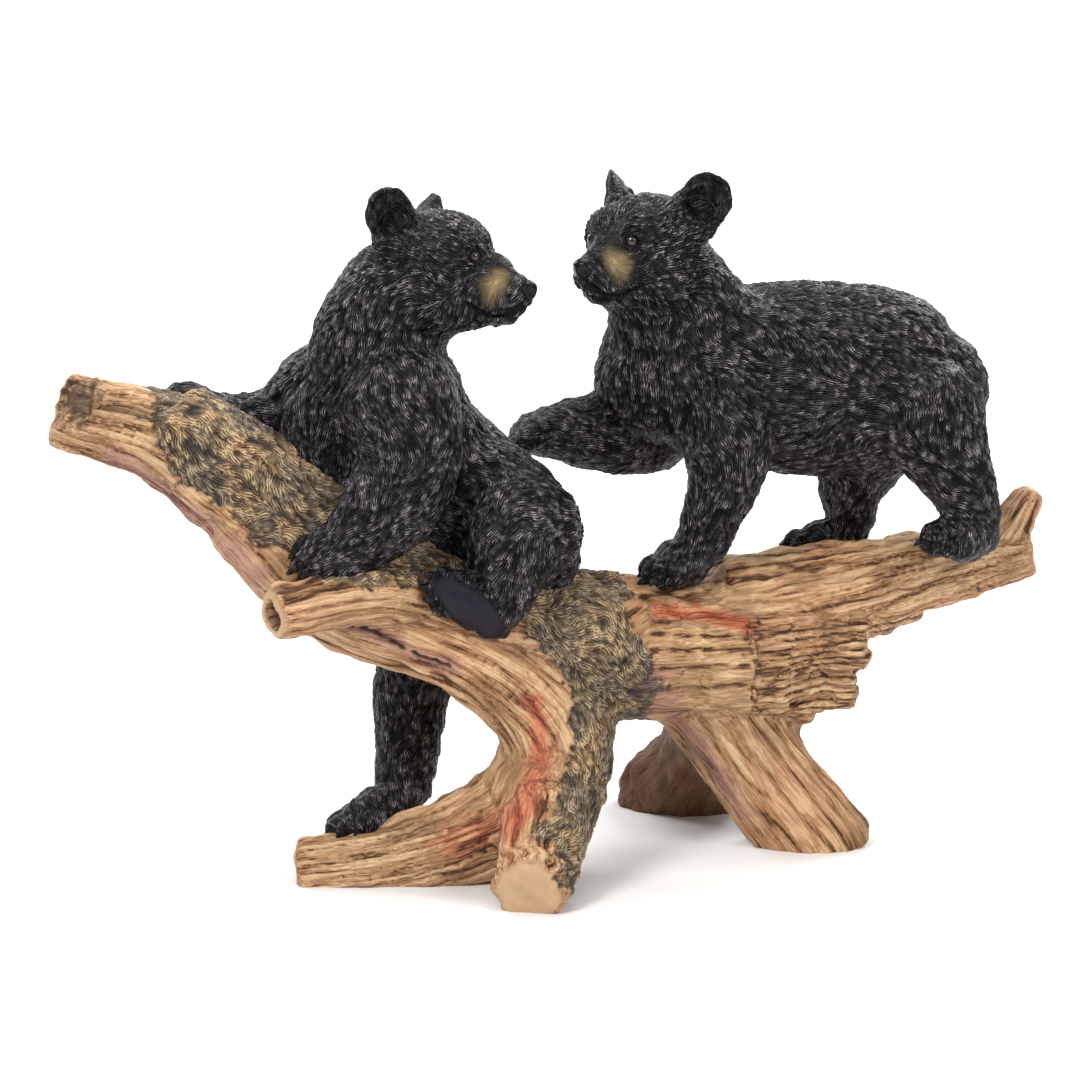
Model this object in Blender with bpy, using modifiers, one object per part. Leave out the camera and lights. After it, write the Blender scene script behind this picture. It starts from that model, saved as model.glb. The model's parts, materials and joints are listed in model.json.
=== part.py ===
"""Garden statue: two bear cubs on a driftwood log.

Three castings, bonded where they touch: the log, which stands on four feet of its own, the cub that
climbs over its raised left end, and the cub that stands on its right end.
The statue faces -Y. X runs along the log, Z is up, and the ground is Z = 0.
"""

import math

import bmesh
import bpy
import numpy as np
from mathutils import Matrix, Vector

# Driving dimensions, in metres
STATUE_LENGTH = 0.800
SEAT_GAP = 0.0003
EAR_RADIUS = 0.0215
EAR_THICKNESS = 0.009
EAR_BOWL_DEPTH = 0.006
EYE_RADIUS = 0.0048
NOSE_WIDTH = 0.019
CLAW_LENGTH = 0.012
CLAW_RADIUS = 0.0027
GRAIN_DEPTH = 0.0035
GRAIN_PITCH = 0.021
STUB_BORE_RADIUS = 0.012
STUB_BORE_DEPTH = 0.016
BEAM_BORE_RADIUS = 0.017
BEAM_BORE_DEPTH = 0.014

# Fineness of the surfaces, in metres, passes and triangles
CORE_VOXEL = 0.005
FORM_VOXEL = 0.0028
CUB_CORE_PASSES = 10
LOG_CORE_PASSES = 5
FORM_PASSES = 2
CUB_TRIANGLES = 2620
LOG_TRIANGLES = 3850

# The statue is laid out on a drawing that is 800 long: one drawing unit is a millimetre at full size
DRAWING_LENGTH = 800
UNIT = STATUE_LENGTH / DRAWING_LENGTH

# Limbs are lists of (x, y, z, radius) stations on the drawing, with the share of their height
# that they are deep. The first and last stations of a sawn or broken limb are flat ends.
LOG_LIMBS = {
    "beam": ([(-378, -20, 378, 29), (-352, -20, 370, 30), (-300, -20, 356, 35), (-250, -20, 323, 41),
              (-198, -20, 285, 43), (-135, -20, 241, 45), (-64, -15, 211, 47), (20, 5, 190, 50)], 1.08),
    "sweep": ([(-240, -30, 292, 28), (-188, -36, 242, 31), (-149, -40, 218, 30), (-110, -41, 204, 29),
               (-71, -39, 190, 31), (-34, -35, 169, 35), (0, -28, 137, 40), (14, -22, 100, 43),
               (-4, -26, 63, 43)], 1.0),
    "trunk": ([(60, 20, 182, 50), (20, 2, 152, 44), (13, -8, 105, 44), (-8, -18, 58, 44),
               (-62, -24, 28, 39), (-129, -25, 10, 33), (-194, -25, 1, 30)], 1.0),
    "root": ([(12, -40, 84, 38), (4, -74, 48, 34), (-4, -104, 25, 31), (-9, -129, 18, 28)], 1.0),
    "branch": ([(-204, -108, 230, 22), (-179, -93, 233, 22), (-150, -84, 237, 22), (-118, -70, 238, 20),
                (-90, -52, 230, 17)], 1.0),
    "spar": ([(20, 10, 186, 50), (65, 30, 176, 57), (130, 55, 172, 60), (194, 68, 175, 58)], 1.0),
    "heartwood": ([(130, 60, 178, 52), (192, 70, 178, 53), (249, 78, 173, 50)], 0.95),
    "tip": ([(150, 62, 198, 48), (203, 70, 205, 45), (270, 80, 217, 40), (319, 85, 229, 33),
             (378, 88, 240, 25), (408, 88, 246, 20)], 1.1),
    "horn": ([(372, 88, 244, 20), (388, 88, 262, 19), (399, 88, 282, 16), (409, 88, 299, 11)], 1.0),
    "front_leg": ([(125, 52, 145, 44), (160, 60, 98, 42), (194, 68, 50, 43), (228, 75, 6, 45),
                   (240, 77, -14, 46)], 0.75),
    "back_leg": ([(152, 85, 130, 38), (150, 125, 94, 38), (142, 165, 52, 42), (132, 190, 22, 48)], 0.8),
    "knee": ([(180, 84, 122, 26), (212, 88, 90, 17)], 1.0),
}
BARK_LIMBS = {
    "beam_bark": ([(-292, -20, 367, 36), (-252, -20, 334, 44), (-200, -18, 296, 47), (-135, -16, 252, 49),
                   (-64, -10, 222, 49), (0, 5, 196, 50)], 1.05),
    "collar": ([(-8, 0, 196, 48), (40, 14, 186, 54), (86, 36, 177, 58), (104, 44, 174, 55)], 1.05),
    "trunk_bark": ([(44, 14, 166, 46), (22, 2, 130, 38), (20, -4, 92, 36), (5, -10, 52, 38)], 1.0),
    "burr": ([(28, 2, 224, 19), (62, 8, 228, 16)], 1.0),
}
# Splinters of the broken heartwood: where they end, across, up and along, and their radius
SPLINTERS = [(268, 40, 174, 15), (259, 50, 153, 14), (260, 60, 133, 14), (228, 66, 118, 13),
             (266, 84, 160, 15), (250, 100, 140, 14), (238, 92, 122, 13), (274, 70, 182, 13)]
SPLINTER_LENGTH = 90
# The heel of the back leg, a dome that is cut off by the ground: middle and radii
BACK_HEEL = ((130, 200, 4), (62, 40, 60))

STANDING_LIMBS = {
    "body": ([(120, 68, 398, 61), (178, 74, 394, 77), (236, 80, 390, 81), (289, 80, 391, 72),
              (317, 78, 382, 51)], 0.80),
    "withers": ([(150, 70, 410, 52), (122, 55, 448, 46), (100, 42, 478, 44)], 0.9),
    "neck": ([(98, 58, 396, 55), (100, 50, 434, 47), (98, 40, 474, 42)], 0.9),
    "near_foreleg": ([(150, 40, 366, 46), (150, 29, 322, 33), (140, 28, 290, 26), (130, 28, 262, 23)], 1.0),
    "far_foreleg": ([(108, 84, 370, 44), (85, 92, 346, 37), (48, 77, 347, 33), (16, 54, 350, 25),
                     (-4, 42, 350, 19)], 1.0),
    "near_hind": ([(313, 56, 366, 49), (326, 44, 338, 39), (340, 35, 310, 29), (349, 32, 286, 24),
                   (352, 32, 270, 21)], 1.0),
    "far_hind": ([(282, 106, 352, 44), (262, 118, 300, 31), (261, 118, 268, 21), (259, 118, 256, 18)], 1.0),
}
# A skull is its middle, its yaw, pitch and roll in degrees, how far forward, out and up its ears are,
# and how far forward and out its brows are
STANDING_SKULL = ((86, 32, 501), (225, 0, 0), (-10, 53, 39), (22, 18))
CLIMBING_LIMBS = {
    "body": ([(-8, -3, 256, 41), (-22, 0, 284, 50), (-70, 0, 330, 47), (-121, 0, 380, 52),
              (-128, -2, 424, 54), (-112, -6, 462, 48)], 0.97),
    "chest": ([(-112, 2, 384, 52), (-155, 10, 372, 48), (-160, 6, 335, 46), (-120, 0, 300, 44),
               (-60, -5, 262, 42)], 1.0),
    "near_arm": ([(-108, -40, 384, 47), (-100, -60, 338, 39), (-120, -68, 304, 37), (-145, -72, 278, 27)], 1.0),
    "far_arm": ([(-172, 28, 382, 44), (-213, 36, 361, 30), (-246, 28, 365, 20), (-266, 18, 374, 16)], 1.0),
    "near_hind": ([(-8, -38, 284, 43), (-20, -58, 286, 35), (-25, -66, 248, 27), (-36, -66, 220, 19)], 1.0),
    "far_hind": ([(-30, 35, 260, 50), (-70, 60, 208, 44), (-104, 58, 142, 34), (-108, 42, 98, 28),
                  (-111, 20, 65, 25)], 1.0),
}
CLIMBING_SKULL = ((-78, -10, 490), (-20, 7, -5), (-27, 46, 35), (7, 15))


def clear_scene():
    for item in list(bpy.data.objects):
        bpy.data.objects.remove(item)


def drawn(x, y, z):
    """A point of the drawing, in metres."""
    return Vector((x, y, z)) * UNIT


def mesh_object(name, mesh):
    item = bpy.data.objects.new(name, mesh)
    bpy.context.scene.collection.objects.link(item)
    return item


def smooth_line(stations, steps=6):
    """Catmull-Rom points through stations of (x, y, z, radius)."""
    rows = [Vector(s) for s in stations]
    padded = [rows[0] * 2 - rows[1]] + rows + [rows[-1] * 2 - rows[-2]]
    line = []
    for a, b, c, d in zip(padded, padded[1:], padded[2:], padded[3:]):
        for i in range(steps):
            t = i / steps
            line.append(0.5 * (2 * b + (c - a) * t + (2 * a - 5 * b + 4 * c - d) * t * t
                               + (3 * b - a - 3 * c + d) * t ** 3))
    return line + [rows[-1]]


def ball(centre, radii, frame=None):
    """An ellipsoid; frame's columns are the directions of its three radii."""
    mesh = bpy.data.meshes.new("ball")
    sphere = bmesh.new()
    bmesh.ops.create_uvsphere(sphere, u_segments=24, v_segments=14, radius=1.0)
    turn = frame.to_4x4() if frame else Matrix.Identity(4)
    place = Matrix.Translation(centre) @ turn @ Matrix.Diagonal((*radii, 1.0))
    bmesh.ops.transform(sphere, matrix=place, verts=sphere.verts)
    sphere.to_mesh(mesh)
    sphere.free()
    return mesh_object("ball", mesh)


def limb(stations, depth=1.0, blunt=False):
    """A tube through stations of (x, y, z, radius), with round ends unless it is blunt.

    depth is its front-to-back size as a share of its height.
    """
    line = smooth_line(stations)
    middle = sum(p[1] for p in line) / len(line)
    curve = bpy.data.curves.new("limb", "CURVE")
    curve.dimensions = "3D"
    curve.bevel_depth = UNIT
    curve.bevel_resolution = 6
    curve.use_fill_caps = True
    spline = curve.splines.new("POLY")
    spline.points.add(len(line) - 1)
    for point, (x, y, z, radius) in zip(spline.points, line):
        point.co = (x * UNIT, (middle + (y - middle) / depth) * UNIT, z * UNIT, 1.0)
        point.radius = radius
    guide = bpy.data.objects.new("limb", curve)
    bpy.context.scene.collection.objects.link(guide)
    mesh = bpy.data.meshes.new_from_object(guide.evaluated_get(bpy.context.evaluated_depsgraph_get()))
    bpy.data.objects.remove(guide)
    tube = bmesh.new()
    tube.from_mesh(mesh)
    bmesh.ops.remove_doubles(tube, verts=tube.verts, dist=1e-6)
    for vertex in tube.verts:
        vertex.co.y = middle * UNIT + (vertex.co.y - middle * UNIT) * depth
    tube.to_mesh(mesh)
    tube.free()
    pieces = [mesh_object("limb", mesh)]
    if not blunt:
        for x, y, z, radius in (line[0], line[-1]):
            r = radius * UNIT
            pieces.append(ball(drawn(x, y, z), (r, r * depth, r)))
    return pieces


def joined(name, pieces):
    """One object that holds all the pieces' faces."""
    whole = bmesh.new()
    for piece in pieces:
        whole.from_mesh(piece.data)
        bpy.data.objects.remove(piece)
    mesh = bpy.data.meshes.new(name)
    whole.to_mesh(mesh)
    whole.free()
    return mesh_object(name, mesh)


def baked(item):
    """The object with its modifiers turned into its mesh."""
    graph = bpy.context.evaluated_depsgraph_get()
    mesh = bpy.data.meshes.new_from_object(item.evaluated_get(graph))
    item.modifiers.clear()
    item.data = mesh
    return item


def moulded(name, pieces, voxel, passes):
    """The pieces run together into one skin, with their joins softened."""
    item = joined(name, pieces)
    skin = item.modifiers.new("skin", "REMESH")
    skin.mode = "VOXEL"
    skin.voxel_size = voxel
    soften = item.modifiers.new("soften", "SMOOTH")
    soften.factor = 0.5
    soften.iterations = passes
    return baked(item)


def points_of(item):
    points = np.empty(len(item.data.vertices) * 3)
    item.data.vertices.foreach_get("co", points)
    return points.reshape(-1, 3)


def normals_of(item):
    normals = np.empty(len(item.data.vertices) * 3)
    item.data.vertices.foreach_get("normal", normals)
    return normals.reshape(-1, 3)


def set_points(item, points):
    item.data.vertices.foreach_set("co", points.ravel())
    item.data.update()


def hollow(item, mouth, axis, radius, depth):
    """Presses a round bowl into the surface at mouth, along axis, as deep as depth at its middle."""
    points = points_of(item)
    axis = np.array(Vector(axis).normalized())
    away = points - np.array(mouth)
    along = away @ axis
    across = np.linalg.norm(away - along[:, None] * axis, axis=1)
    bowl = np.clip(1 - (across / radius) ** 2, 0, 1) ** 0.6
    near = np.clip(1.5 - np.abs(along) / radius, 0, 1)
    set_points(item, points + axis * (depth * bowl * near)[:, None])


def along_limbs(points, limbs):
    """For each limb: each point's share of the radius away, distance along, angle round and direction."""
    for stations, depth in limbs.values():
        line = np.array(smooth_line(stations)) * UNIT
        centres = line[:, :3]
        steps = np.gradient(centres, axis=0)
        tangents = steps / np.linalg.norm(steps, axis=1)[:, None]
        travelled = np.concatenate([[0], np.cumsum(np.linalg.norm(np.diff(centres, axis=0), axis=1))])
        squared = ((points[:, None, :] - centres[None, :, :]) ** 2).sum(axis=2)
        nearest = squared.argmin(axis=1)
        away = points - centres[nearest]
        tangent = tangents[nearest]
        slip = (away * tangent).sum(axis=1)
        away = away - slip[:, None] * tangent
        side = np.array([0.0, 1.0, 0.0]) - tangent * tangent[:, 1:2]
        side = side / np.linalg.norm(side, axis=1)[:, None]
        top = np.cross(tangent, side)
        angle = np.arctan2((away * top).sum(axis=1), (away * side).sum(axis=1) / depth)
        share = np.sqrt(squared[np.arange(len(points)), nearest]) / line[nearest, 3]
        yield share, travelled[nearest] + slip, angle, tangent, line[:, 3].mean()


def grained(item, limbs):
    """Cuts the long rounded ridges of weathered wood along the limbs; their end faces stay plain."""
    points = points_of(item)
    normals = normals_of(item)
    total = np.zeros(len(points))
    weights = np.zeros(len(points))
    for share, travelled, angle, tangent, radius in along_limbs(points, limbs):
        ridges = max(4, round(2 * math.pi * radius / GRAIN_PITCH))
        wander = 0.55 * np.sin(travelled / (3.1 * GRAIN_PITCH)) + 0.2 * np.sin(travelled / GRAIN_PITCH)
        turn = angle / (2 * math.pi) * ridges + wander
        crest = np.abs(np.sin(math.pi * turn)) ** 0.7
        side_on = np.clip(2 - 2.5 * np.abs((normals * tangent).sum(axis=1)), 0, 1)
        swell = 0.6 + 0.4 * np.sin(travelled / (1.7 * GRAIN_PITCH) + 2.4 * np.floor(turn))
        weight = np.exp(-7 * share)
        total += weight * side_on * (swell * crest - 0.35)
        weights += weight
    lift = GRAIN_DEPTH * total / (weights + 1e-9)
    set_points(item, points + normals * lift[:, None])


def thinned(item, triangles):
    """The object with its flatter faces merged, down to this many triangles."""
    item.modifiers.new("split", "TRIANGULATE")
    item = baked(item)
    fewer = item.modifiers.new("fewer", "DECIMATE")
    fewer.ratio = triangles / len(item.data.polygons)
    return baked(item)


def sawn_at_ground(item):
    """The object cut off flat at Z = 0, with the cut closed."""
    cut = bmesh.new()
    cut.from_mesh(item.data)
    whole = cut.verts[:] + cut.edges[:] + cut.faces[:]
    made = bmesh.ops.bisect_plane(cut, geom=whole, dist=1e-6, plane_co=(0, 0, 0), plane_no=(0, 0, -1),
                                  clear_outer=True)
    rim = [g for g in made["geom_cut"] if isinstance(g, bmesh.types.BMEdge)]
    bmesh.ops.holes_fill(cut, edges=rim, sides=0)
    bmesh.ops.triangulate(cut, faces=cut.faces[:])
    cut.to_mesh(item.data)
    cut.free()
    return item


def largest_body(item):
    """The object without any crumb that a cut has split off."""
    whole = bmesh.new()
    whole.from_mesh(item.data)
    left = set(whole.verts)
    bodies = []
    while left:
        body = {left.pop()}
        edge = list(body)
        while edge:
            vertex = edge.pop()
            for link in vertex.link_edges:
                other = link.other_vert(vertex)
                if other in left:
                    left.remove(other)
                    body.add(other)
                    edge.append(other)
        bodies.append(body)
    bodies.sort(key=len)
    for body in bodies[:-1]:
        bmesh.ops.delete(whole, geom=list(body), context="VERTS")
    whole.to_mesh(item.data)
    whole.free()
    return item


def seated(item, carrier):
    """Cuts away what would sink into the carrier, with the seat gap between them."""
    swollen = mesh_object("cutter", carrier.data.copy())
    set_points(swollen, points_of(swollen) + normals_of(swollen) * SEAT_GAP)
    cut = item.modifiers.new("seat", "BOOLEAN")
    cut.operation = "DIFFERENCE"
    cut.object = swollen
    cut.solver = "EXACT"
    item = baked(item)
    bpy.data.objects.remove(swollen)
    return largest_body(item)


def head_frame(yaw, pitch, roll):
    """Columns forward, left and up of a head; it looks along +X at yaw 0, and down by its pitch."""
    turn = Matrix.Rotation(math.radians(yaw), 3, "Z") @ Matrix.Rotation(math.radians(pitch), 3, "Y")
    return turn @ Matrix.Rotation(math.radians(roll), 3, "X")


def ear_frame(frame, side):
    """Columns out of the bowl, across and up of an ear."""
    facing = (frame @ Vector((1, side * 0.9, 0.1))).normalized()
    across = (frame @ Vector((0, 0, 1))).cross(facing).normalized()
    return Matrix((facing, across, facing.cross(across))).transposed()


def head(skull, angles, ears, brows):
    """The masses of a head, and the details that are added once they have run together."""
    frame = head_frame(*angles)
    ear_forward, ear_out, ear_up = ears
    brow_forward, brow_out = brows

    def at(forward, left, up):
        return drawn(*skull) + frame @ drawn(forward, left, up)

    def radii(*sizes):
        return [s * UNIT for s in sizes]

    masses = [
        ball(at(-2, 0, 0), radii(46, 47, 44), frame),
        ball(at(11, 0, 8), radii(32, 37, 34), frame),
        ball(at(36, 0, -16), radii(29, 25, 27), frame),
        ball(at(6, 0, -26), radii(38, 40, 28), frame),
        ball(at(29, 0, -26), radii(28, 25, 23), frame),
    ]
    details = [
        ball(at(46, 0, -4), radii(17, 13, 17), frame),
        ball(at(57, 0, -15), radii(19, 14, 15), frame),
        ball(at(52, 0, -22), radii(23, 18, 19), frame),
        ball(at(65, 0, -19), radii(13, 14, 14), frame),
        ball(at(49, 0, -34.5), radii(19, 13, 9), frame),
        ball(at(74, 0, -15), (7.5 * UNIT, NOSE_WIDTH / 2, 8 * UNIT), frame),
    ]
    for side in (-1, 1):
        masses.append(ball(at(4, side * 22, -24), radii(32, 26, 30), frame))
        masses.append(ball(at(brow_forward, side * brow_out, 10), radii(26, 23, 25), frame))
        details.append(ball(at(62, side * 7, -24), radii(12, 9, 9), frame))
        turn = ear_frame(frame, side)
        rim = at(ear_forward, side * ear_out, ear_up)
        base = at(ear_forward + 3, side * ear_out * 0.74, ear_up * 0.62)
        details.append(ball(rim, (EAR_THICKNESS / 2, EAR_RADIUS, EAR_RADIUS), turn))
        details.append(ball(rim.lerp(base, 0.55), (EAR_THICKNESS * 0.7, EAR_RADIUS, EAR_RADIUS), turn))
        details.append(ball(base, (EAR_RADIUS * 0.65, EAR_RADIUS * 1.05, EAR_RADIUS * 1.1), turn))
    return masses, details


def cut_face(item, skull, angles, ears, brows):
    """Presses in the bowls of the ears, the eye sockets and the nostrils, and adds the eyes."""
    frame = head_frame(*angles)
    ear_forward, ear_out, ear_up = ears

    def at(forward, left, up):
        return drawn(*skull) + frame @ drawn(forward, left, up)

    for side in (-1, 1):
        turn = ear_frame(frame, side)
        facing = turn.col[0]
        bowl = at(ear_forward, side * ear_out, ear_up) + facing * EAR_THICKNESS / 2
        hollow(item, bowl, -facing, EAR_RADIUS * 0.72, EAR_BOWL_DEPTH)
        socket = frame @ Vector((-1, -side * 0.55, -0.1))
        hollow(item, at(42, side * 23, 9), socket, 10 * UNIT, 3 * UNIT)
        hollow(item, at(81, side * 5, -17), frame @ Vector((-1, side * 0.3, 0)), 3.5 * UNIT, 2.5 * UNIT)
    eyes = [ball(at(38, side * 21, 9), [EYE_RADIUS] * 3) for side in (-1, 1)]
    return [item] + eyes


def paw(place, toward, up, length, width=0.8, thick=0.5, toes=5):
    """A palm, its toes and claws; toward is where they point, and up is the back of the paw."""
    toward = Vector(toward).normalized()
    side = Vector(up).cross(toward).normalized()
    up = toward.cross(side)
    frame = Matrix((toward, side, up)).transposed()
    half = length * UNIT / 2
    centre = drawn(*place)
    pieces = [ball(centre - toward * half * 0.2, (half * 0.85, half * width * 0.88, half * thick), frame)]
    for toe in range(toes):
        swing = math.radians(68) * (toe / (toes - 1) - 0.5) * 2
        out = toward * math.cos(swing) * half * 0.70 + side * math.sin(swing) * half * width * 0.86
        knuckle = centre + out - up * half * thick * 0.2
        pieces.append(ball(knuckle, (half * 0.34, half * 0.20, half * thick * 0.62), frame))
        claw = (toward * 0.9 + side * math.sin(swing) * 0.35 - up * 0.55).normalized()
        tip = knuckle + toward * half * 0.26 - up * half * thick * 0.1
        claw_frame = claw.to_track_quat("X", "Z").to_matrix()
        pieces.append(ball(tip + claw * CLAW_LENGTH * 0.3,
                           (CLAW_LENGTH / 2, CLAW_RADIUS, CLAW_RADIUS), claw_frame))
    return pieces


def cub(name, limbs, skull, paws):
    """One cub: its limbs and skull run together, then the features of its head and its paws."""
    masses, details = head(*skull)
    for stations, depth in limbs.values():
        masses += limb(stations, depth)
    for row in paws:
        details += paw(*row)
    core = moulded("core", masses, CORE_VOXEL, CUB_CORE_PASSES)
    form = moulded("form", [core] + details, FORM_VOXEL, FORM_PASSES)
    return moulded(name, cut_face(form, *skull), FORM_VOXEL, 1)


def standing_cub():
    paws = [((109, 22, 247), (-1, -0.45, -0.15), (0, 0, 1), 60, 0.82, 0.68),
            ((-12, 33, 348), (-0.85, -0.25, -0.45), (-0.45, 0, 0.9), 48, 0.85, 0.62),
            ((336, 20, 271), (-1, -0.5, 0.08), (0, 0, 1), 62, 0.8, 0.72),
            ((236, 112, 253), (-1, -0.25, 0.05), (0, 0, 1), 64, 0.7, 0.5)]
    return cub("standing_cub", STANDING_LIMBS, STANDING_SKULL, paws)


def climbing_cub():
    paws = [((-163, -79, 269), (-0.75, -0.3, -0.6), (-0.2, -0.9, 0.4), 60, 0.95, 0.62),
            ((-284, 10, 385), (-1, -0.3, 0.1), (0.2, 0.2, 1), 44, 0.8, 0.5),
            ((-60, -72, 236), (-0.75, -0.12, 0.66), (0.15, 1, 0.3), 66, 0.62, 0.46),
            ((-134, -4, 49), (-1, -0.45, -0.28), (-0.2, 0, 1), 86, 0.6, 0.42)]
    return cub("climbing_cub", CLIMBING_LIMBS, CLIMBING_SKULL, paws)


def driftwood_log():
    masses = []
    for stations, depth in list(LOG_LIMBS.values()) + list(BARK_LIMBS.values()):
        masses += limb(stations, depth, blunt=True)
    middle, radii = BACK_HEEL
    masses.append(ball(drawn(*middle), [r * UNIT for r in radii]))
    for x, y, z, radius in SPLINTERS:
        start = (x - SPLINTER_LENGTH, y - 8, z + 4, radius * 1.2)
        masses += limb([start, (x - SPLINTER_LENGTH / 2, y, z + 2, radius * 1.1), (x, y, z, radius)],
                       1.2, blunt=True)
    core = moulded("core", masses, CORE_VOXEL, LOG_CORE_PASSES)
    form = moulded("form", [core], FORM_VOXEL, FORM_PASSES)
    grained(form, LOG_LIMBS)
    hollow(form, drawn(-204, -108, 230), (0.83, 0.55, 0.1), STUB_BORE_RADIUS, STUB_BORE_DEPTH)
    hollow(form, drawn(-368, -40, 380), (1, 0.8, -0.2), BEAM_BORE_RADIUS, BEAM_BORE_DEPTH)
    return moulded("log", [form], FORM_VOXEL, 0)


def painted(item, colour, roughness):
    paint = bpy.data.materials.new(item.name)
    paint.use_nodes = True
    shader = paint.node_tree.nodes["Principled BSDF"]
    shader.inputs["Base Color"].default_value = (*colour, 1)
    shader.inputs["Roughness"].default_value = roughness
    shader.inputs["Metallic"].default_value = 0.0
    item.data.materials.clear()
    item.data.materials.append(paint)


def centred(items):
    """Moves the finished castings so that the origin is below the middle of the whole."""
    clouds = [points_of(item) for item in items]
    low = np.min([c.min(axis=0) for c in clouds], axis=0)
    high = np.max([c.max(axis=0) for c in clouds], axis=0)
    shift = np.array([(low[0] + high[0]) / 2, (low[1] + high[1]) / 2, 0])
    for item, cloud in zip(items, clouds):
        set_points(item, cloud - shift)


def main():
    clear_scene()
    log = sawn_at_ground(thinned(driftwood_log(), LOG_TRIANGLES))
    climber = seated(thinned(climbing_cub(), CUB_TRIANGLES), log)
    stander = seated(seated(thinned(standing_cub(), CUB_TRIANGLES), log), climber)
    statue = bpy.data.collections.new("bear_garden_statue")
    bpy.context.scene.collection.children.link(statue)
    for item in (log, climber, stander):
        bpy.context.scene.collection.objects.unlink(item)
        statue.objects.link(item)
    centred([log, climber, stander])
    painted(log, (0.52, 0.36, 0.20), 0.6)
    painted(climber, (0.022, 0.020, 0.024), 0.4)
    painted(stander, (0.022, 0.020, 0.024), 0.4)


main()
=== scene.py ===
"""Bear garden statue: the finished castings, their paint, the floor, the light and the camera.

The forms are laid out on the same drawing as the solids: 800 units long, one unit to a millimetre.
"""
import json
import math

import bmesh
import bpy
import numpy as np
from mathutils import Matrix, Vector
from mathutils.kdtree import KDTree

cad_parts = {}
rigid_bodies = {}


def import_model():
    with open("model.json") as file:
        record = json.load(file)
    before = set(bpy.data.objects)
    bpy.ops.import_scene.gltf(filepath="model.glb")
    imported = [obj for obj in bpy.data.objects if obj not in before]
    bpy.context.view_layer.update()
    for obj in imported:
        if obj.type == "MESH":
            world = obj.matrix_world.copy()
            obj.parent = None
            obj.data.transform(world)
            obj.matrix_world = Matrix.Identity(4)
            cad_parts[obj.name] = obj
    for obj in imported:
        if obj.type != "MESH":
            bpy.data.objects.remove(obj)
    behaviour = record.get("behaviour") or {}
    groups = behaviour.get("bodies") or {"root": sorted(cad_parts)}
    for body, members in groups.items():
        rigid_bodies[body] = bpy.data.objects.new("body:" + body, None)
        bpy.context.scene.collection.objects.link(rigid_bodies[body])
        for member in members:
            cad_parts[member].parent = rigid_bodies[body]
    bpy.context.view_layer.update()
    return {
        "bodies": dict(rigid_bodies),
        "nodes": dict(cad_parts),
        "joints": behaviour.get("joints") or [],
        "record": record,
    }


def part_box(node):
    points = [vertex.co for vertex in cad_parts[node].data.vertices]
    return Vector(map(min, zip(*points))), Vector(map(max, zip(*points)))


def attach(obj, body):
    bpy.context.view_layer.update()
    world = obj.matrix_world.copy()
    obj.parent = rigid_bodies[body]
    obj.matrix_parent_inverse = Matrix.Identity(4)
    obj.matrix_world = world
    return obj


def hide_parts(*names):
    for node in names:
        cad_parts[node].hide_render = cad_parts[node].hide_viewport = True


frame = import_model()

# Sizes in metres
STATUE_LENGTH = 0.800
EAR_RADIUS = 0.0215
EAR_THICKNESS = 0.009
EAR_BOWL_DEPTH = 0.009
EYE_RADIUS = 0.0052
NOSE_WIDTH = 0.019
CLAW_LENGTH = 0.0085
CLAW_RADIUS = 0.0027
GRAIN_DEPTH = 0.0035
GRAIN_PITCH = 0.021
FIBRE_DEPTH = 0.0017
FIBRE_PITCH = 0.0085
FIBRE_STRETCH = 13
CRACK_DEPTH = 0.0016
PLANK_STEP = 0.0042
LEDGE_HEIGHT = 0.0055
STUB_BORE_RADIUS = 0.012
STUB_BORE_DEPTH = 0.016
BEAM_BORE_RADIUS = 0.020
BEAM_BORE_DEPTH = 0.014
FUR_LENGTH = 0.0130
FUR_WIDTH = 0.0036
FUR_HEIGHT = 0.0017
FUR_TUFT = 0.0082
FUR_PITCH = 0.0019
BARK_LENGTH = 0.0125
BARK_WIDTH = 0.0040
BARK_HEIGHT = 0.0022
BARK_TUFT = 0.0100
BARK_PITCH = 0.0024
# How far the skin is raised or sunk there
BARK_THICKNESS = 0.0013
FUR_WAVE = 0.0007
LID_HEIGHT = 0.0018
SOCKET_DEPTH = 0.0012
LIP_DEPTH = 0.0022
SOLE_DEPTH = 0.0012
WOOD_WAVE = 0.0010
SPLIT_DEPTH = 0.0025
GROOVE_DEPTH = 0.004
ROT_HEIGHT = 0.0011

# How finely the skins are meshed, and how often they are softened
CORE_VOXEL = 0.005
CUB_VOXEL = 0.00118
LOG_VOXEL = 0.00165
CUB_CORE_PASSES = 10
LOG_CORE_PASSES = 5
FORM_PASSES = 12
# Triangles of a whole cub and of the log
CUB_TRIANGLES = 300000
LOG_TRIANGLES = 315000
# One lock of fur or bark to so many points of the skin
FUR_SPACING = 17
BARK_SPACING = 9

DRAWING_LENGTH = 800
UNIT = STATUE_LENGTH / DRAWING_LENGTH

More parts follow.
